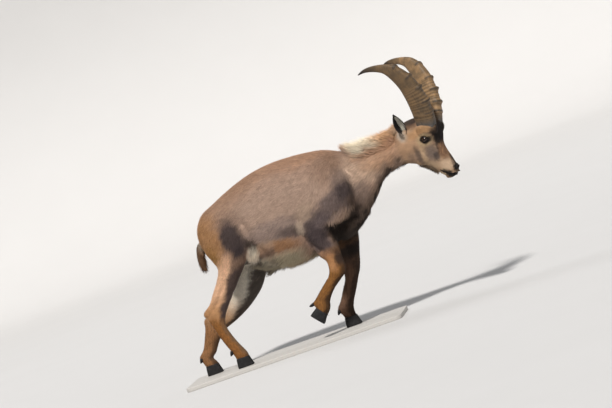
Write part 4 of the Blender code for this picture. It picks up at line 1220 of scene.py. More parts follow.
class Skin:
    """What the coat needs of the skin: its triangles, colours and the kind of each vertex."""

    def __init__(self, obj):
        self.object = obj
        self.place, self.normals, self.triangles = arrays(obj.data)
        self.kind = ear_skin(obj, self.place, obj["own_vertices"])
        corners = self.place[self.triangles]
        cross = np.cross(corners[:, 1] - corners[:, 0], corners[:, 2] - corners[:, 0])
        self.areas = np.linalg.norm(cross, axis=1) / 2
        self.middles = corners.mean(axis=1)
        self.tree = BVHTree.FromPolygons(self.place.tolist(), self.triangles.tolist())

    def scattered(self, per_area, count, dice):
        """About so many points on the skin, as dense as asked, with their normals and kinds."""
        share = np.cumsum(self.areas * per_area)
        at = (np.arange(count) + dice.uniform(0, 1, count)) / count * share[-1]
        which = np.minimum(np.searchsorted(share, at), len(share) - 1)
        return self.sampled(which, dice)

    def sampled(self, which, dice):
        a, b = np.sqrt(dice.uniform(size=len(which))), dice.uniform(size=len(which))
        weights = np.stack([1 - a, a * (1 - b), a * b], axis=1)[:, :, None]
        corners = self.triangles[which]
        place = (self.place[corners] * weights).sum(axis=1)
        normals = unit((self.normals[corners] * weights).sum(axis=1))
        return place, normals, self.kind[corners[:, 0]]


def unwrap_of(skin_object, chosen):
    """An unwrap of part of the skin's own shape, as a tree of its faces and their corners."""
    bm = bmesh.new()
    bm.from_mesh(skin_object.data)
    middles = np.array([f.calc_center_median() for f in bm.faces])
    spare = [f for f, wanted in zip(bm.faces, chosen(middles)) if not wanted]
    bmesh.ops.delete(bm, geom=spare, context="FACES")
    mesh = bpy.data.meshes.new("unwrap")
    bm.to_mesh(mesh)
    bm.free()
    obj = linked("unwrap", mesh)
    thinned(obj, UNWRAP_TRIANGLES)
    bpy.ops.object.select_all(action="DESELECT")
    bpy.context.view_layer.objects.active = obj
    obj.select_set(True)
    bpy.ops.object.mode_set(mode="EDIT")
    bpy.ops.mesh.select_all(action="SELECT")
    bpy.ops.mesh.quads_convert_to_tris()
    bpy.ops.uv.smart_project(angle_limit=math.radians(72), island_margin=0.01)
    bpy.ops.object.mode_set(mode="OBJECT")
    place = arrays(obj.data)[0]
    faces = np.array([tuple(f.vertices) for f in obj.data.polygons])
    uv = np.zeros(len(obj.data.loops) * 2)
    obj.data.uv_layers.active.data.foreach_get("uv", uv)
    corners = uv.reshape(-1, 3, 2)
    bpy.data.objects.remove(obj, do_unlink=True)
    return BVHTree.FromPolygons(place.tolist(), faces.tolist()), place[faces], corners


def unwrapped(points, unwrap):
    """Where each point lies on the unwrap."""
    tree, faces, corners = unwrap
    which = np.array([tree.find_nearest(p)[2] for p in points.tolist()])
    a, b, c = faces[which, 0], faces[which, 1], faces[which, 2]
    normal = np.cross(b - a, c - a)
    whole = np.maximum((normal * normal).sum(axis=1), 1e-18)
    weight_b = (np.cross(points - a, c - a) * normal).sum(axis=1) / whole
    weight_c = (np.cross(b - a, points - a) * normal).sum(axis=1) / whole
    weights = np.clip(np.stack([1 - weight_b - weight_c, weight_b, weight_c], axis=1), 0, 1)
    weights /= weights.sum(axis=1, keepdims=True)
    return (corners[which] * weights[:, :, None]).sum(axis=1)


def tuft_faces(rings):
    """The faces of one tuft: its root, the sides between its three-cornered rings, its tip."""
    faces = [(2, 1, 0)]
    for a in range(0, 3 * (rings - 1), 3):
        faces += [(a + i, a + (i + 1) % 3, a + (i + 1) % 3 + 3, a + i + 3) for i in range(3)]
    a = 3 * (rings - 1)
    return faces + [(a + i, a + (i + 1) % 3, a + 3) for i in range(3)]


def tuft_mesh(name, points, rings):
    """One mesh of all tufts, from the points of each, and the vertex of each face corner."""
    count, each = points.shape[:2]
    faces = tuft_faces(rings)
    loops = (np.concatenate(faces)[None, :] + np.arange(count)[:, None] * each).ravel()
    totals = np.tile([len(face) for face in faces], count)
    starts = np.concatenate([[0], np.cumsum(totals)[:-1]])
    mesh = bpy.data.meshes.new(name)
    mesh.vertices.add(count * each)
    mesh.vertices.foreach_set("co", points.astype(np.float32).ravel())
    mesh.loops.add(len(loops))
    mesh.loops.foreach_set("vertex_index", loops.astype(np.int32))
    mesh.polygons.add(len(totals))
    mesh.polygons.foreach_set("loop_start", starts.astype(np.int32))
    mesh.polygons.foreach_set("loop_total", totals.astype(np.int32))
    mesh.update(calc_edges=True)
    mesh.polygons.foreach_set("use_smooth", np.ones(len(totals), bool))
    return mesh, loops


def hairs(name, place, normals, way, length, width, stand, colour, unwrap, dice,
          rings=1, curl=0.0, scatter=0.10, tips=None, fall=None):
    """Closed, tapered tufts as one mesh. Each leaves the skin at its stand and bends to its lie."""
    count = len(place)
    stand = stand * dice.uniform(0.8, 1.25, count)
    length = length * dice.uniform(0.78, 1.18, count)
    width = width * dice.uniform(0.8, 1.25, count)
    swing = dice.normal(0, scatter, count)[:, None]
    way = unit(way + np.cross(normals, way) * swing)
    aside = unit(np.cross(normals, way))
    centre = place - normals * ROOT_DEPTH
    points, shades, facing = [], [], []
    for i, t in enumerate(np.linspace(0, 1, rings + 1)):
        angle = stand * (1.25 - 0.95 * (t if rings > 1 else 0.25))
        ahead = way * np.cos(angle)[:, None] + normals * np.sin(angle)[:, None]
        if fall is not None:
            ahead = unit(mix(ahead, fall, 0.9 * t**0.7))
        if i:
            bend = aside * (curl * np.sin(3.0 * t + 6.0 * swing))
            centre = centre + unit(ahead + bend) * ((length + ROOT_DEPTH) / rings)[:, None]
        upward = unit(np.cross(ahead, aside))
        outward = unit(normals + 0.5 * upward)
        if i == rings:
            points.append(centre[:, None])
            shades.append(np.full((count, 1), 1.0))
            facing.append(outward[:, None])
            break
        share = 0.38 + 0.22 * math.sin(math.pi * min(1.0, t * 1.3)) if rings > 1 else 0.5
        half = (width * share)[:, None]
        ridge = centre + upward * half * 0.45
        points.append(np.stack([centre + aside * half, ridge, centre - aside * half], axis=1))
        shades.append(np.full((count, 3), t))
        left, right = unit(outward + 0.6 * aside), unit(outward - 0.6 * aside)
        facing.append(np.stack([left, outward, right], axis=1))
    points, shades, facing = (np.concatenate(part, axis=1) for part in (points, shades, facing))
    each = points.shape[1]
    mesh, loops = tuft_mesh(name, points, rings)
    set_point(mesh, "custom_normal", facing, "vector")
    tint = colour * np.clip(dice.normal(1.0, 0.20, (count, 1)), 0.5, 1.6)
    tint = np.clip(tint + dice.normal(0, 0.01, (count, 3)) * tint, 0, 1)
    spread = np.repeat(tint, each, axis=0)
    if tips is not None:
        spread = mix(spread, np.repeat(tips, each, axis=0), shades.reshape(-1, 1) ** 1.5)
    set_markings(mesh, spread)
    set_point(mesh, "tip", shades)
    root_uv = np.repeat(unwrapped(place, unwrap)[:, None, :], each, axis=1)
    across = np.concatenate([np.tile([-1.0, 0.0, 1.0], rings), [0.0]])
    patch = np.stack([np.tile(across, (count, 1)), shades * 2 - 1], axis=2) * UV_PATCH
    uv = (root_uv + patch).reshape(-1, 2)[loops]
    layer = mesh.uv_layers.new(name="OFBake")
    layer.data.foreach_set("uv", np.clip(uv, 0, 1).astype(np.float32).ravel())
    return linked(name, mesh)


def region_of(place):
    """Which piece of the coat each point belongs to."""
    x, y, z = place.T
    region = np.where(x > 0.38, 2, 4) + (y > 0)
    low = (z < 0.40) & ((x < 0.26) | (x > 0.48))
    region = np.where(low, np.where(x > 0.3, 6, 7), region)
    region = np.where((x > 0.77) & (z > 0.45), 1, region)
    return np.where(on_head(place) > 0.5, 0, region)


def free_of_openings(place):
    """False where no hair grows: between the lids, in the mouth and nostrils, under the horns."""
    head = in_head(place)
    bare = near_mouth(head, 0.0026) > 0.4
    for side in (-1, 1):
        ahead, aside, up = (head - np.array(on_side(EYE_PLACE, side))).T
        bare |= (np.abs(ahead) < 0.0165) & (np.abs(up) < 0.0118) & (aside * side > -0.002)
        bare |= np.linalg.norm(head - np.array(on_side(NOSTRIL, side)), axis=1) < 0.0085
        ahead, aside, _ = np.abs(head - np.array(on_side(HORN[0], side))).T
        bare |= (ahead < 0.042) & (aside < 0.024) & (head[:, 2] > 0.745)
    return ~(bare & (on_head(place) > 0.5))


class IBEX_OT_skin(bpy.types.Operator):
    """Builds the skin of the whole animal from its sections"""

    bl_idname = "ibex.skin"
    bl_label = "Skin"

    def execute(self, context):
        skin = blended_flesh(context.scene.ibex_sizes.voxel)
        inside_coat(skin)
        thinned(skin, SKIN_TRIANGLES)
        refined(skin, fine_face)
        sculpt_face(skin)
        own = len(skin.data.vertices)
        bm = bmesh.new()
        bm.from_mesh(skin.data)
        for side_name in EARS:
            take(bm, ear(side_name))
        bm.to_mesh(skin.data)
        bm.free()
        skin.data.shade_smooth()
        skin["own_vertices"] = own
        place = arrays(skin.data)[0]
        set_markings(skin.data, coat_colours(place, ear_skin(skin, place, own)))
        skin.data.materials.append(fur_material("skin_fur", on_tufts=False))
        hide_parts(*FLESH_NODES)
        return {"FINISHED"}


class IBEX_OT_coat(bpy.types.Operator):
    """Covers the skin with short tufts, smallest on the face and the feet"""

    bl_idname = "ibex.coat"
    bl_label = "Short coat"

    def execute(self, context):
        sizes = context.scene.ibex_sizes
        skin = Skin(bpy.data.objects["skin"])
        dice = np.random.default_rng(11)
        length = hair_length(skin.middles)
        per_area = 1.0 / length**TUFT_CROWDING
        count = sizes.tufts
        place, normals, kind = skin.scattered(per_area, count, dice)
        keep = free_of_openings(place)
        place, normals, kind = place[keep], normals[keep], kind[keep]
        length = np.where(kind > 0, EAR_COAT, hair_length(place))
        way = lie(place, normals, kind)
        colour = coat_colours(place, kind)
        width = TUFT_WIDTH[0] + TUFT_WIDTH[1] * length
        region = region_of(place)
        finish = fur_material("coat_fur", on_tufts=True)
        for i, name in enumerate(REGIONS):
            mine = np.flatnonzero(region == i)
            if len(mine) > SHORT_COAT_LIMIT:
                mine = dice.permutation(mine)[:SHORT_COAT_LIMIT]
            unwrap = unwrap_of(skin.object, lambda middles, i=i: region_of(middles) == i)
            piece = hairs(
                "coat_" + name, place[mine], normals[mine], way[mine], length[mine],
                width[mine], SHORT_COAT_STAND, colour[mine], unwrap, dice,
            )
            piece.data.materials.append(finish)
            settled(piece)
        return {"FINISHED"}


class Growth:
    """One growth of long hair: where it grows on the skin, and how it is made."""

    def __init__(self, name, count, length, fall, where, tint=None, tips=None, stand=0.6,
                 width=0.0018, rings=3, curl=0.15, scatter=0.22, slot="coat"):
        self.name, self.count, self.length, self.fall = name, count, length, fall
        self.where, self.tint, self.tips, self.stand, self.width = where, tint, tips, stand, width
        self.rings, self.curl, self.scatter, self.slot = rings, curl, scatter, slot


def in_neck(place):
    """The side offset from the middle of the turned neck."""
    return place[:, 1] - height_of(NECK_SIDE, place[:, 0])


def on_nape(place, normals, kind):
    x, _, z = place.T
    top = (1 - ramp(np.abs(in_neck(place)), 0.018, 0.038)) * ramp(normals[:, 2], 0.1, 0.5)
    return between(x, 0.750, 0.775, 1.02, 1.045) * top * (z > 0.69)


def on_throat(place, normals, kind):
    x, _, z = place.T
    low = (1 - ramp(z - throat_line(x), 0.030, 0.075)) * (z > 0.36)
    return between(x, 0.62, 0.70, 0.96, 1.00) * low * (0.25 + 0.75 * ramp(-normals[:, 2], 0.0, 0.4))


def beside(x, z, half_x, half_z, turn):
    """A growth on both sides of the body, as an ellipse of the side view."""

    def where(place, normals, kind):
        outward = ramp(np.abs(normals[:, 1]), 0.2, 0.5) * (np.abs(place[:, 1]) > 0.03)
        return spot(side_view(place), x, z, half_x, half_z, turn, 0.5) * outward

    return where


def on_belly(place, normals, kind):
    x, y, z = place.T
    legs = (np.abs(y) > 0.06) & ((x < 0.27) | (x > 0.47))
    low = ramp(-normals[:, 2], 0.15, 0.5) * (z < 0.44) * (z > 0.34)
    return between(x, 0.20, 0.25, 0.50, 0.56) * low * ~legs


def on_tail(place, normals, kind):
    x, y, z = place.T
    return (x < 0.004) & (np.abs(y) < 0.024) & (z > 0.465) & (z < 0.602)


def on_chin(place, normals, kind):
    x, y, z = in_head(place).T
    jaw = on_head(place) * (np.abs(y) < 0.020) * ramp(-normals[:, 2], 0.2, 0.5)
    return jaw * between(x, 0.06, 0.08, 0.125, 0.145) * (z < 0.60) * (kind == 0)


def in_cup(place, normals, kind):
    up, across = ear_places(in_head(place))
    return (kind == 2) * (across > 0.15) * between(up, 0.02, 0.15, 0.7, 0.85)


def above_hooves(place, normals, kind):
    mask = np.zeros(len(place))
    for _, rows, mine in leg_of(place):
        down, ahead, _ = leg_sections(place, rows)
        low = mine & (place[:, 2] < 0.36)
        behind = 0.35 * ramp(-ahead, 0.6, 0.9) * ramp(down, 0.55, 0.65)
        mask += low * (ramp(down, 0.93, 0.97) + behind)
    return mask


def mane_length(place):
    beside_crest = ramp(np.abs(in_neck(place)), 0.008, 0.032)
    return height_of(MANE, place[:, 0]) * (1 - 0.62 * beside_crest)


GROWTHS = [
    Growth("mane", 4600, mane_length, (-0.64, 0.0, 0.77), on_nape, stand=1.1, width=0.0020,
           curl=0.25, scatter=0.40),
    Growth("throat", 4000, 0.030, (-0.60, 0.0, -0.80), on_throat, tips=(0.034, 0.025, 0.021),
           stand=0.45),
    Growth("brisket", 700, 0.032, (-0.22, 0.0, -0.97), beside(0.650, 0.512, 0.060, 0.018, 15),
           tips=(0.44, 0.31, 0.23), stand=0.45, scatter=0.30),
    Growth("chest", 1000, 0.032, (-0.35, 0.0, -0.93), beside(0.745, 0.505, 0.045, 0.060, 25),
           tips=(0.040, 0.030, 0.026), stand=0.35),
    Growth("elbow", 450, 0.026, (-0.30, 0.0, -0.95), beside(0.464, 0.515, 0.016, 0.028, 0),
           tips=(0.48, 0.38, 0.29), stand=0.40),
    Growth("groin", 900, 0.034, (-0.15, 0.0, -0.98), beside(0.226, 0.475, 0.022, 0.030, -20),
           tips=(0.78, 0.70, 0.56), stand=0.45),
    Growth("belly", 5000, 0.034, (-0.70, 0.0, -0.45), on_belly, tips=(0.44, 0.38, 0.26),
           stand=0.55),
    Growth("tail", 2400, 0.044, (0.22, 0.0, -0.97), on_tail, tips=(0.24, 0.105, 0.036), stand=0.60,
           width=0.0018, scatter=0.45, slot="dark_coat"),
    Growth("beard", 700, 0.016, (-0.55, 0.0, -0.83), on_chin, tips=(0.05, 0.04, 0.034), stand=0.5,
           width=0.0014),
    Growth("ear_hair", 700, 0.018, None, in_cup, tint=(0.62, 0.58, 0.49), stand=0.55,
           width=0.0010),
    Growth("feet_hair", 2400, 0.014, None, above_hooves, stand=0.34, width=0.0012, rings=2,
           slot="leg_coat"),
]


class IBEX_OT_long_hair(bpy.types.Operator):
    """Grows the mane, the hair of throat, brisket, chest, elbows, groin, belly and tail, the beard,
    and the hair in the ears and above the hooves
    """

    bl_idname = "ibex.long_hair"
    bl_label = "Long hair"

    def execute(self, context):
        skin = Skin(bpy.data.objects["skin"])
        dice = np.random.default_rng(23)
        finish = fur_material("long_fur", on_tufts=True)
        kinds = skin.kind[skin.triangles[:, 0]]
        face_normals = skin.normals[skin.triangles].mean(axis=1)
        for growth in GROWTHS:
            density = growth.where(skin.middles, face_normals, kinds).astype(float)
            grown = skin.middles[density > 0]
            low, high = grown.min(axis=0) - UNWRAP_MARGIN, grown.max(axis=0) + UNWRAP_MARGIN
            unwrap = unwrap_of(skin.object, lambda m: ((m >= low) & (m <= high)).all(axis=1))
            count = growth.count
            place, normals, kind = skin.scattered(density, count, dice)
            way = lie(place, normals, kind)
            fall = growth.fall
            if fall is not None:
                fall = unit(unit(np.array(fall)) + dice.normal(0, 0.10, place.shape))
            colour = coat_colours(place, kind)
            if growth.tint is not None:
                colour = np.tile(growth.tint, (len(place), 1)).astype(float)
            tips = growth.tips
            if tips is not None:
                tips = 0.6 * np.array(tips) + 0.4 * colour
            if growth.name == "mane":
                tips = np.clip(colour * (1.30, 1.34, 1.42), 0, 0.95)
            length = growth.length(place) if callable(growth.length) else growth.length
            piece = hairs(
                "coat_" + growth.name, place, normals, way, length, growth.width, growth.stand,
                colour, unwrap, dice, rings=growth.rings, curl=growth.curl,
                scatter=growth.scatter, tips=tips, fall=fall,
            )
            piece.data.materials.append(finish)
            settled(piece)
        return {"FINISHED"}


def horn_rings(steps=14):
    """Each ring of a horn: middle, front, outward, half depth, half width and share along."""
    rows = smooth_rows(HORN, steps)
    for i, (x, y, z, depth, width) in enumerate(rows):
        before, after = rows[max(i - 1, 0)], rows[min(i + 1, len(rows) - 1)]
        along = (Vector(after[:3]) - Vector(before[:3])).normalized()
        front = Vector((0, 1, 0)).cross(along).normalized()
        out = along.cross(front).normalized()
        yield Vector((x, y, z)), front, out, depth / 2, width / 2, i / (len(rows) - 1)


def horn(side_name, ring_depth):
    """A horn with knobs across its flat front, grooves between years and fine rings."""
    side = -1 if side_name == "right" else 1
    bm = bmesh.new()
    made, tones = [], []
    run = 0.0
    last = None
    for middle, front, out, depth, width, share in horn_rings():
        run += (middle - last).length if last else 0.0
        last = middle
        knob = rise = 0.0
        for at, height in KNOBS[side_name]:
            off = (middle.z - at) / KNOB_REACH
            knob = max(knob, math.exp(-abs(off) ** 2.4) * height)
            rise = max(rise, math.exp(-abs(off * 1.2) ** 2))
        fine = 0.0
        for spacing, drift, per_metre, part in RINGS:
            phase = run * 2 * math.pi / spacing + drift * math.sin(run * per_metre)
            fine += math.sin(phase) * ring_depth * part * (1 - share) ** 0.7
        ring = bmesh.ops.create_circle(bm, segments=HORN_SEGMENTS, radius=1.0)["verts"]
        for v in ring:
            ahead, beside = v.co.x, v.co.y
            angle = math.atan2(beside, ahead)
            squared = math.copysign(abs(beside) ** 0.8, beside)
            reach = depth * ahead
            front_share = max(0.0, min(1.0, (ahead - 0.1) / 0.3))
            if ahead > 0.2:
                flat = depth * (0.55 + 0.45 * ahead) * min(1.0, ahead * 1.6)
                reach = flat + knob * (0.85 + 0.15 * math.cos(4 * angle))
            wobble = fine * (1 + 0.6 * math.sin(3 * angle + run * 40)) * (0.5 + 0.5 * front_share)
            ridge = rise * 0.0012 * (1 - abs(ahead)) + wobble
            spread = width * squared * (1 + 0.12 * ahead)
            scale = 1 + ridge / max(0.004, math.hypot(reach, spread))
            place = middle + (front * reach + out * spread) * scale
            v.co = Vector((place.x, side * place.y, place.z))
            tones.append((share, front_share * rise, fine / max(ring_depth, 1e-6)))
        made.append(ring)
    close_rings(bm, made)
    obj = object_of(bm, "horn_detail_" + side_name)
    obj.data.shade_smooth()
    tones = np.array(tones)
    for i, name in enumerate(("share", "knob", "ring")):
        set_point(obj.data, name, tones[:, i])
    return placed(obj, HEAD_PLACE)


def lighter(colour, factor):
    return tuple(c * factor for c in colour)


def horn_material(name, colour):
    """Olive brown horn, streaked along, darker at the knobs' edges and towards the tip."""
    s = Shader(name)
    place = s.place()
    share, knob = Value(s, s.attribute("share")["Fac"]), Value(s, s.attribute("knob")["Fac"])
    ring = Value(s, s.attribute("ring")["Fac"])
    streak = s.noise(s.place((1.0, 1.0, 0.22)), 160.0, 4.0)
    cloud = s.noise(place, 34.0, 4.0)
    olive = tuple(c * f for c, f in zip(colour, (1.5, 1.4, 1.25)))
    warm = s.mixed(cloud.clamped(0.35, 0.65), colour, olive)
    grey = s.mixed((1.0 - share * 6.0).clamped(0.2, 0.9), warm, (0.10, 0.09, 0.082))
    dark_tip = s.mixed(share.clamped(0.72, 0.97), grey, (0.030, 0.024, 0.020))
    edged = s.mixed(knob.clamped(0.35, 1.0) * 0.75, dark_tip, (0.045, 0.034, 0.026))
    light = 0.22 + 0.80 * streak + 0.26 * ring + 0.25 * cloud
    normal = s.bump(streak + 0.6 * s.noise(place, 900.0, 2.0), 0.0008, 0.55)
    s.finish(Base_Color=s.scaled(edged, light), Roughness=0.42 + 0.30 * cloud, Normal=normal)
    s.finish(Specular_IOR_Level=0.4)
    return s.material


class IBEX_OT_horns(bpy.types.Operator):
    """Models both horns with knobs and growth rings"""

    bl_idname = "ibex.horns"
    bl_label = "Horns"

    def execute(self, context):
        colour = tuple(context.scene.ibex_colours.horn)
        # From one horn colour, the near horn is made darker as painted shade and the far horn
        # lighter as painted sunlight.
        for side_name, light in (("right", 0.85), ("left", 1.45)):
            piece = horn(side_name, context.scene.ibex_sizes.growth_rings)
            finish = horn_material("horn_surface_" + side_name, lighter(colour, light))
            piece.data.materials.append(finish)
            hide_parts("horn_" + side_name)
            settled(piece)
        return {"FINISHED"}


def eye(side_name):
    """An eyeball with a raised cornea, and the place of each point across the gaze."""
    side = -1 if side_name == "right" else 1
    bm = bmesh.new()
    bmesh.ops.create_uvsphere(bm, u_segments=64, v_segments=48, radius=1.0)
    bmesh.ops.rotate(bm, verts=bm.verts, matrix=Matrix.Rotation(math.radians(90), 3, "X"))
    gaze = []
    for v in bm.verts:
        out = side * v.co.y
        across = math.hypot(v.co.x, v.co.z)
        bulge = 1 + CORNEA * float(ramp(out, 0.80, 0.97))
        gaze.append((v.co.x, v.co.z, out if across < 0.99 else 0.0))
        v.co = v.co * EYE_RADIUS * bulge
    obj = object_of(bm, "eyeball_" + side_name)
    obj.data.shade_smooth()
    set_point(obj.data, "gaze", gaze, "vector")
    return placed(obj, HEAD_PLACE @ Matrix.Translation(on_side(EYE_PLACE, side)))


def eye_material(iris):
    """A dark amber iris with a level slot of a pupil, under a clear gloss."""
    s = Shader("eye_surface")
    gaze = s.attribute("gaze")["Vector"]
    parts = s.node("ShaderNodeSeparateXYZ", None, {"Vector": gaze}).outputs
    ahead, up = Value(s, parts[0]), Value(s, parts[1])
    far = (ahead * ahead + up * up) ** 0.5
    slot = ((ahead * 2.6) ** 2.0 + (up * 6.5) ** 2.0).clamped(0.85, 1.15)
    drawn_out = s.node("ShaderNodeMapping", None, {"Vector": gaze, "Scale": (9.0, 9.0, 1.0)})
    fibres = s.noise(drawn_out.outputs[0], 3.0)
    streaked = s.scaled(s.mixed(fibres, iris, lighter(iris, 0.55)), 1.2)
    ring = s.mixed(far.clamped(0.52, 0.66), streaked, (0.012, 0.008, 0.006))
    colour = s.mixed(slot, (0.002, 0.002, 0.002), ring)
    s.finish(Base_Color=colour, Roughness=0.22 + 0.06 * fibres)
    s.finish(Coat_Weight=0.35, Coat_Roughness=0.05, Specular_IOR_Level=0.25)
    return s.material


class IBEX_OT_eyes(bpy.types.Operator):
    """Models both eyes with iris, pupil and cornea"""

    bl_idname = "ibex.eyes"
    bl_label = "Eyes"

    def execute(self, context):
        finish = eye_material(tuple(context.scene.ibex_colours.iris))
        for side_name in ("right", "left"):
            piece = eye(side_name)
            piece.data.materials.append(finish)
            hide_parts("eye_" + side_name)
            settled(piece)
        return {"FINISHED"}


def claw(coronet, side_offset, inner_side, pitch):
    """One half of a cloven hoof: a soft coronet, a curved wall and a flat sole."""
    rows = [
        (0.0262, -GAP, -0.0282, -GAP, 0.0100, inner_side * 0.0125, 0.0),
        (0.0285, -0.004, -0.0295, -0.004, 0.0106, inner_side * 0.0127, -0.03),
        (0.0330, -0.022, -0.0318, -0.022, 0.0110, inner_side * 0.0132, -0.15),
        (0.0375, -0.038, -0.0332, -0.038, 0.0114, inner_side * 0.0137, -0.25),
        (0.0386, -0.0435, -0.0333, -0.0435, 0.0114, inner_side * 0.0138, -0.25),
        (0.0375, -HOOF_HEIGHT, -0.0322, -HOOF_HEIGHT, 0.0105, inner_side * 0.0138, -0.25),
    ]
    obj = loft("claw", rows, steps=4, segments=36, fullness=0.85)
    turn = Matrix.Rotation(math.radians(pitch), 4, "Y")
    return placed(obj, Matrix.Translation((coronet[0], side_offset, coronet[1])) @ turn)


def dewclaw(place, pitch):
    rows = [
        (0.0075, 0.004, -0.0060, 0.004, 0.0055, 0.0, 0.0),
        (0.0075, -0.006, -0.0065, -0.006, 0.0062, 0.0, 0.0),
        (0.0040, -0.014, -0.0055, -0.014, 0.0045, 0.0, 0.0),
        (-0.0010, -0.019, -0.0035, -0.019, 0.0018, 0.0, 0.0),
    ]
    obj = loft("dewclaw", rows, steps=4, segments=20)
    turn = Matrix.Rotation(math.radians(pitch), 4, "Y")
    return placed(obj, Matrix.Translation(place) @ turn)


def hoof_material(colour):
    """Slate grey hoof with level growth lines and paler scuffed patches."""
    s = Shader("hoof_surface")
    lines = s.noise(s.place((0.15, 0.15, 1.0)), 420.0, 3.0)
    cloud = s.noise(s.place(), 90.0, 4.0)
    worn = s.mixed(cloud.clamped(0.45, 0.75), colour, lighter(colour, 2.3))
    s.finish(Base_Color=s.scaled(worn, 0.6 + 0.7 * lines), Roughness=0.5 + 0.3 * cloud)
    s.finish(Normal=s.bump(lines + 0.4 * cloud, 0.0008, 0.5), Specular_IOR_Level=0.25)
    return s.material


class IBEX_OT_hooves(bpy.types.Operator):
    """Models the cloven hooves and the dewclaws of each foot"""

    bl_idname = "ibex.hooves"
    bl_label = "Hooves"

    def execute(self, context):
        finish = hoof_material(tuple(context.scene.ibex_colours.hoof))
        for leg_name, (rows, side, coronet, pitch, dew_place, dew_pitch) in LEGS.items():
            side_offset = rows[-1][5]
            bm = bmesh.new()
            nodes = []
            for which, inner_side in (("inner", -side), ("outer", side)):
                place = (dew_place[0], side_offset + inner_side * 0.012, dew_place[1])
                toe = claw(coronet, side_offset, inner_side, pitch)
                take(bm, toe)
                take(bm, dewclaw(place, dew_pitch))
                nodes += [f"hoof_{leg_name}_{which}", f"dewclaw_{leg_name}_{which}"]
            foot = object_of(bm, "foot_" + leg_name)
            foot.data.shade_smooth()
            foot.data.set_sharp_from_angle(angle=math.radians(50))
            foot.data.materials.append(finish)
            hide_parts(*nodes)
            settled(foot)
        return {"FINISHED"}


def base_material(colour):
    """A board painted matt warm grey, its grain just showing through."""
    s = Shader("base_paint")
    grain = s.noise(s.place((0.05, 1.0, 1.0)), 120.0, 5.0)
    cloud = s.noise(s.place(), 9.0, 3.0)
    paint = s.mixed(cloud, colour, lighter(colour, 0.92))
    s.finish(Base_Color=s.scaled(paint, 0.93 + 0.12 * grain))
    s.finish(Roughness=0.52 + 0.18 * grain, Normal=s.bump(grain, 0.0004, 0.35))
    return s.material


class IBEX_OT_base(bpy.types.Operator):
    """Models the painted base board with a softened edge"""

    bl_idname = "ibex.base"
    bl_label = "Base"

    def execute(self, context):
        low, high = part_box("stand_base")
        size, middle = high - low, (low + high) / 2
        bm = bmesh.new()
        bmesh.ops.create_cube(bm, size=1.0)
        bm.transform(Matrix.Diagonal((size.x, size.y, size.z, 1.0)))
        for upright, offset, segments in ((True, BOARD_CORNER, 16), (False, BOARD_EDGE, 4)):
            edges = [
                e
                for e in bm.edges
                if (abs(e.verts[0].co.z - e.verts[1].co.z) > size.z / 2) == upright
                and (upright or e.calc_face_angle(0) > 1.0)
            ]
            bmesh.ops.bevel(
                bm, geom=edges, offset=offset, segments=segments, profile=0.5, affect="EDGES",
                material=-1,
            )
        bm.transform(Matrix.Translation(middle))
        board = object_of(bm, "base_board")
        board.data.shade_smooth()
        board.data.set_sharp_from_angle(angle=math.radians(35))
        board.data.materials.append(base_material(tuple(context.scene.ibex_colours.base)))
        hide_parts("stand_base")
        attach(board, "root")
        return {"FINISHED"}


def stage_material():
    s = Shader("stage_paper")
    cloud = s.noise(s.place(), 1.5, 2.0)
    paper = s.mixed(cloud, (0.58, 0.575, 0.57), (0.60, 0.595, 0.59))
    s.finish(Base_Color=s.scaled(paper, 1.0), Roughness=0.9)
    return s.material


def sun(name, way, strength, spread, tint):
    """A soft far light that comes from the given way."""
    lamp = bpy.data.lights.new(name, "SUN")
    lamp.energy = strength
    lamp.angle = math.radians(spread)
    lamp.color = tint
    linked(name, lamp).rotation_euler = (-Vector(way)).to_track_quat("-Z", "Y").to_euler()


def camera():
    """The photograph's view: level with the animal, turned by the slope that it climbs."""
    lens = bpy.data.cameras.new("view")
    lens.sensor_width = 36.0
    lens.lens = 36.0 * CAMERA_DISTANCE / VIEW_WIDTH
    lens.clip_end = 60.0
    level, up = math.cos(CAMERA_ELEVATION), math.sin(CAMERA_ELEVATION)
    back = Vector((math.sin(CAMERA_AZIMUTH) * level, -math.cos(CAMERA_AZIMUTH) * level, up))
    turn = (-back).to_track_quat("-Z", "Y").to_matrix().to_4x4() @ Matrix.Rotation(-SLOPE, 4, "Z")
    obj = linked("view", lens)
    obj.matrix_world = Matrix.Translation(STANCE + VIEW_MIDDLE + back * CAMERA_DISTANCE) @ turn
    bpy.context.scene.camera = obj


def bowl():
    """A floor that curves up into a wall all round, beyond the camera on every side."""
    flat, bend, wall = 14.0, 3.0, 8.0
    profile = [(0.0, 0.0), (flat, 0.0)]
    for i in range(1, 13):
        angle = math.pi / 2 * i / 12
        profile.append((flat + bend * math.sin(angle), bend * (1 - math.cos(angle))))
    profile.append((flat + bend, wall))
    bm = bmesh.new()
    line = [bm.verts.new((reach, 0.0, height)) for reach, height in profile]
    edges = [bm.edges.new(pair) for pair in zip(line, line[1:])]
    bmesh.ops.spin(
        bm, geom=line + edges, cent=(0, 0, 0), axis=(0, 0, 1), angle=2 * math.pi, steps=72
    )
    bmesh.ops.remove_doubles(bm, verts=bm.verts, dist=0.0001)
    bm.normal_update()
    if sum(f.normal.z for f in bm.faces) < 0:
        bmesh.ops.reverse_faces(bm, faces=bm.faces)
    return bm


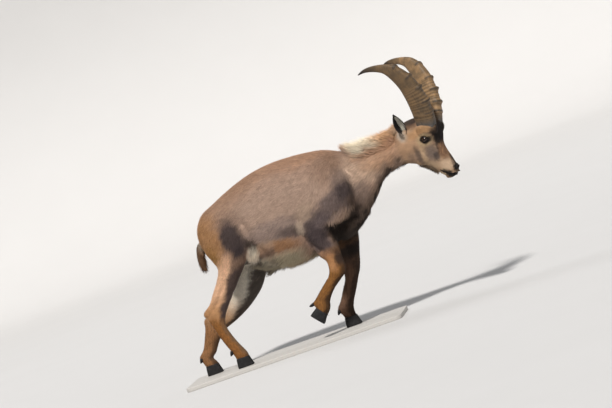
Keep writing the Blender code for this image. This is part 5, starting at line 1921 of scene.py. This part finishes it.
class IBEX_OT_stage(bpy.types.Operator):
    """Sets the pale floor, the soft lights and the camera"""

    bl_idname = "ibex.stage"
    bl_label = "Stage"

    def execute(self, context):
        bm = bowl()
        mesh = bpy.data.meshes.new("floor")
        bm.to_mesh(mesh)
        bm.free()
        floor = linked("floor", mesh)
        floor.data.shade_smooth()
        floor.data.materials.append(stage_material())
        sun("key", (-0.05, -0.62, 0.78), 3.75, 7, (1.0, 0.97, 0.935))
        sun("rim", (-0.60, 0.45, 0.66), 0.7, 25, (0.95, 0.97, 1.0))
        world = bpy.data.worlds.new("soft_sky")
        world.use_nodes = True
        sky = world.node_tree.nodes["Background"].inputs
        sky["Color"].default_value = (0.93, 0.96, 1.0, 1.0)
        sky["Strength"].default_value = 0.22
        context.scene.world = world
        context.scene.view_settings.view_transform = "Standard"
        camera()
        return {"FINISHED"}


class IBEX_OT_settle(bpy.types.Operator):
    """Sets the finished skin onto the base"""

    bl_idname = "ibex.settle"
    bl_label = "Settle skin"

    def execute(self, context):
        settled(bpy.data.objects["skin"])
        return {"FINISHED"}


class IBEX_PT_panel(bpy.types.Panel):
    """Sizes, colours and the steps that build the ibex"""

    bl_idname = "IBEX_PT_panel"
    bl_label = "Ibex"
    bl_space_type = "VIEW_3D"
    bl_region_type = "UI"
    bl_category = "Ibex"

    def draw(self, context):
        for group in (context.scene.ibex_sizes, context.scene.ibex_colours):
            for name in type(group).__annotations__:
                self.layout.prop(group, name)
        for step in STEPS:
            self.layout.operator(step.bl_idname)


STEPS = [
    IBEX_OT_stage,
    IBEX_OT_base,
    IBEX_OT_hooves,
    IBEX_OT_horns,
    IBEX_OT_eyes,
    IBEX_OT_skin,
    IBEX_OT_coat,
    IBEX_OT_long_hair,
    IBEX_OT_settle,
]
CLASSES = [IbexSizes, IbexColours, *STEPS, IBEX_PT_panel]


def register():
    for each in CLASSES:
        bpy.utils.register_class(each)
    bpy.types.Scene.ibex_sizes = PointerProperty(type=IbexSizes)
    bpy.types.Scene.ibex_colours = PointerProperty(type=IbexColours)


def unregister():
    del bpy.types.Scene.ibex_sizes
    del bpy.types.Scene.ibex_colours
    for each in reversed(CLASSES):
        bpy.utils.unregister_class(each)


def main():
    register()
    for step in STEPS:
        group, name = step.bl_idname.split(".")
        getattr(getattr(bpy.ops, group), name)()


if __name__ == "__main__":
    main()
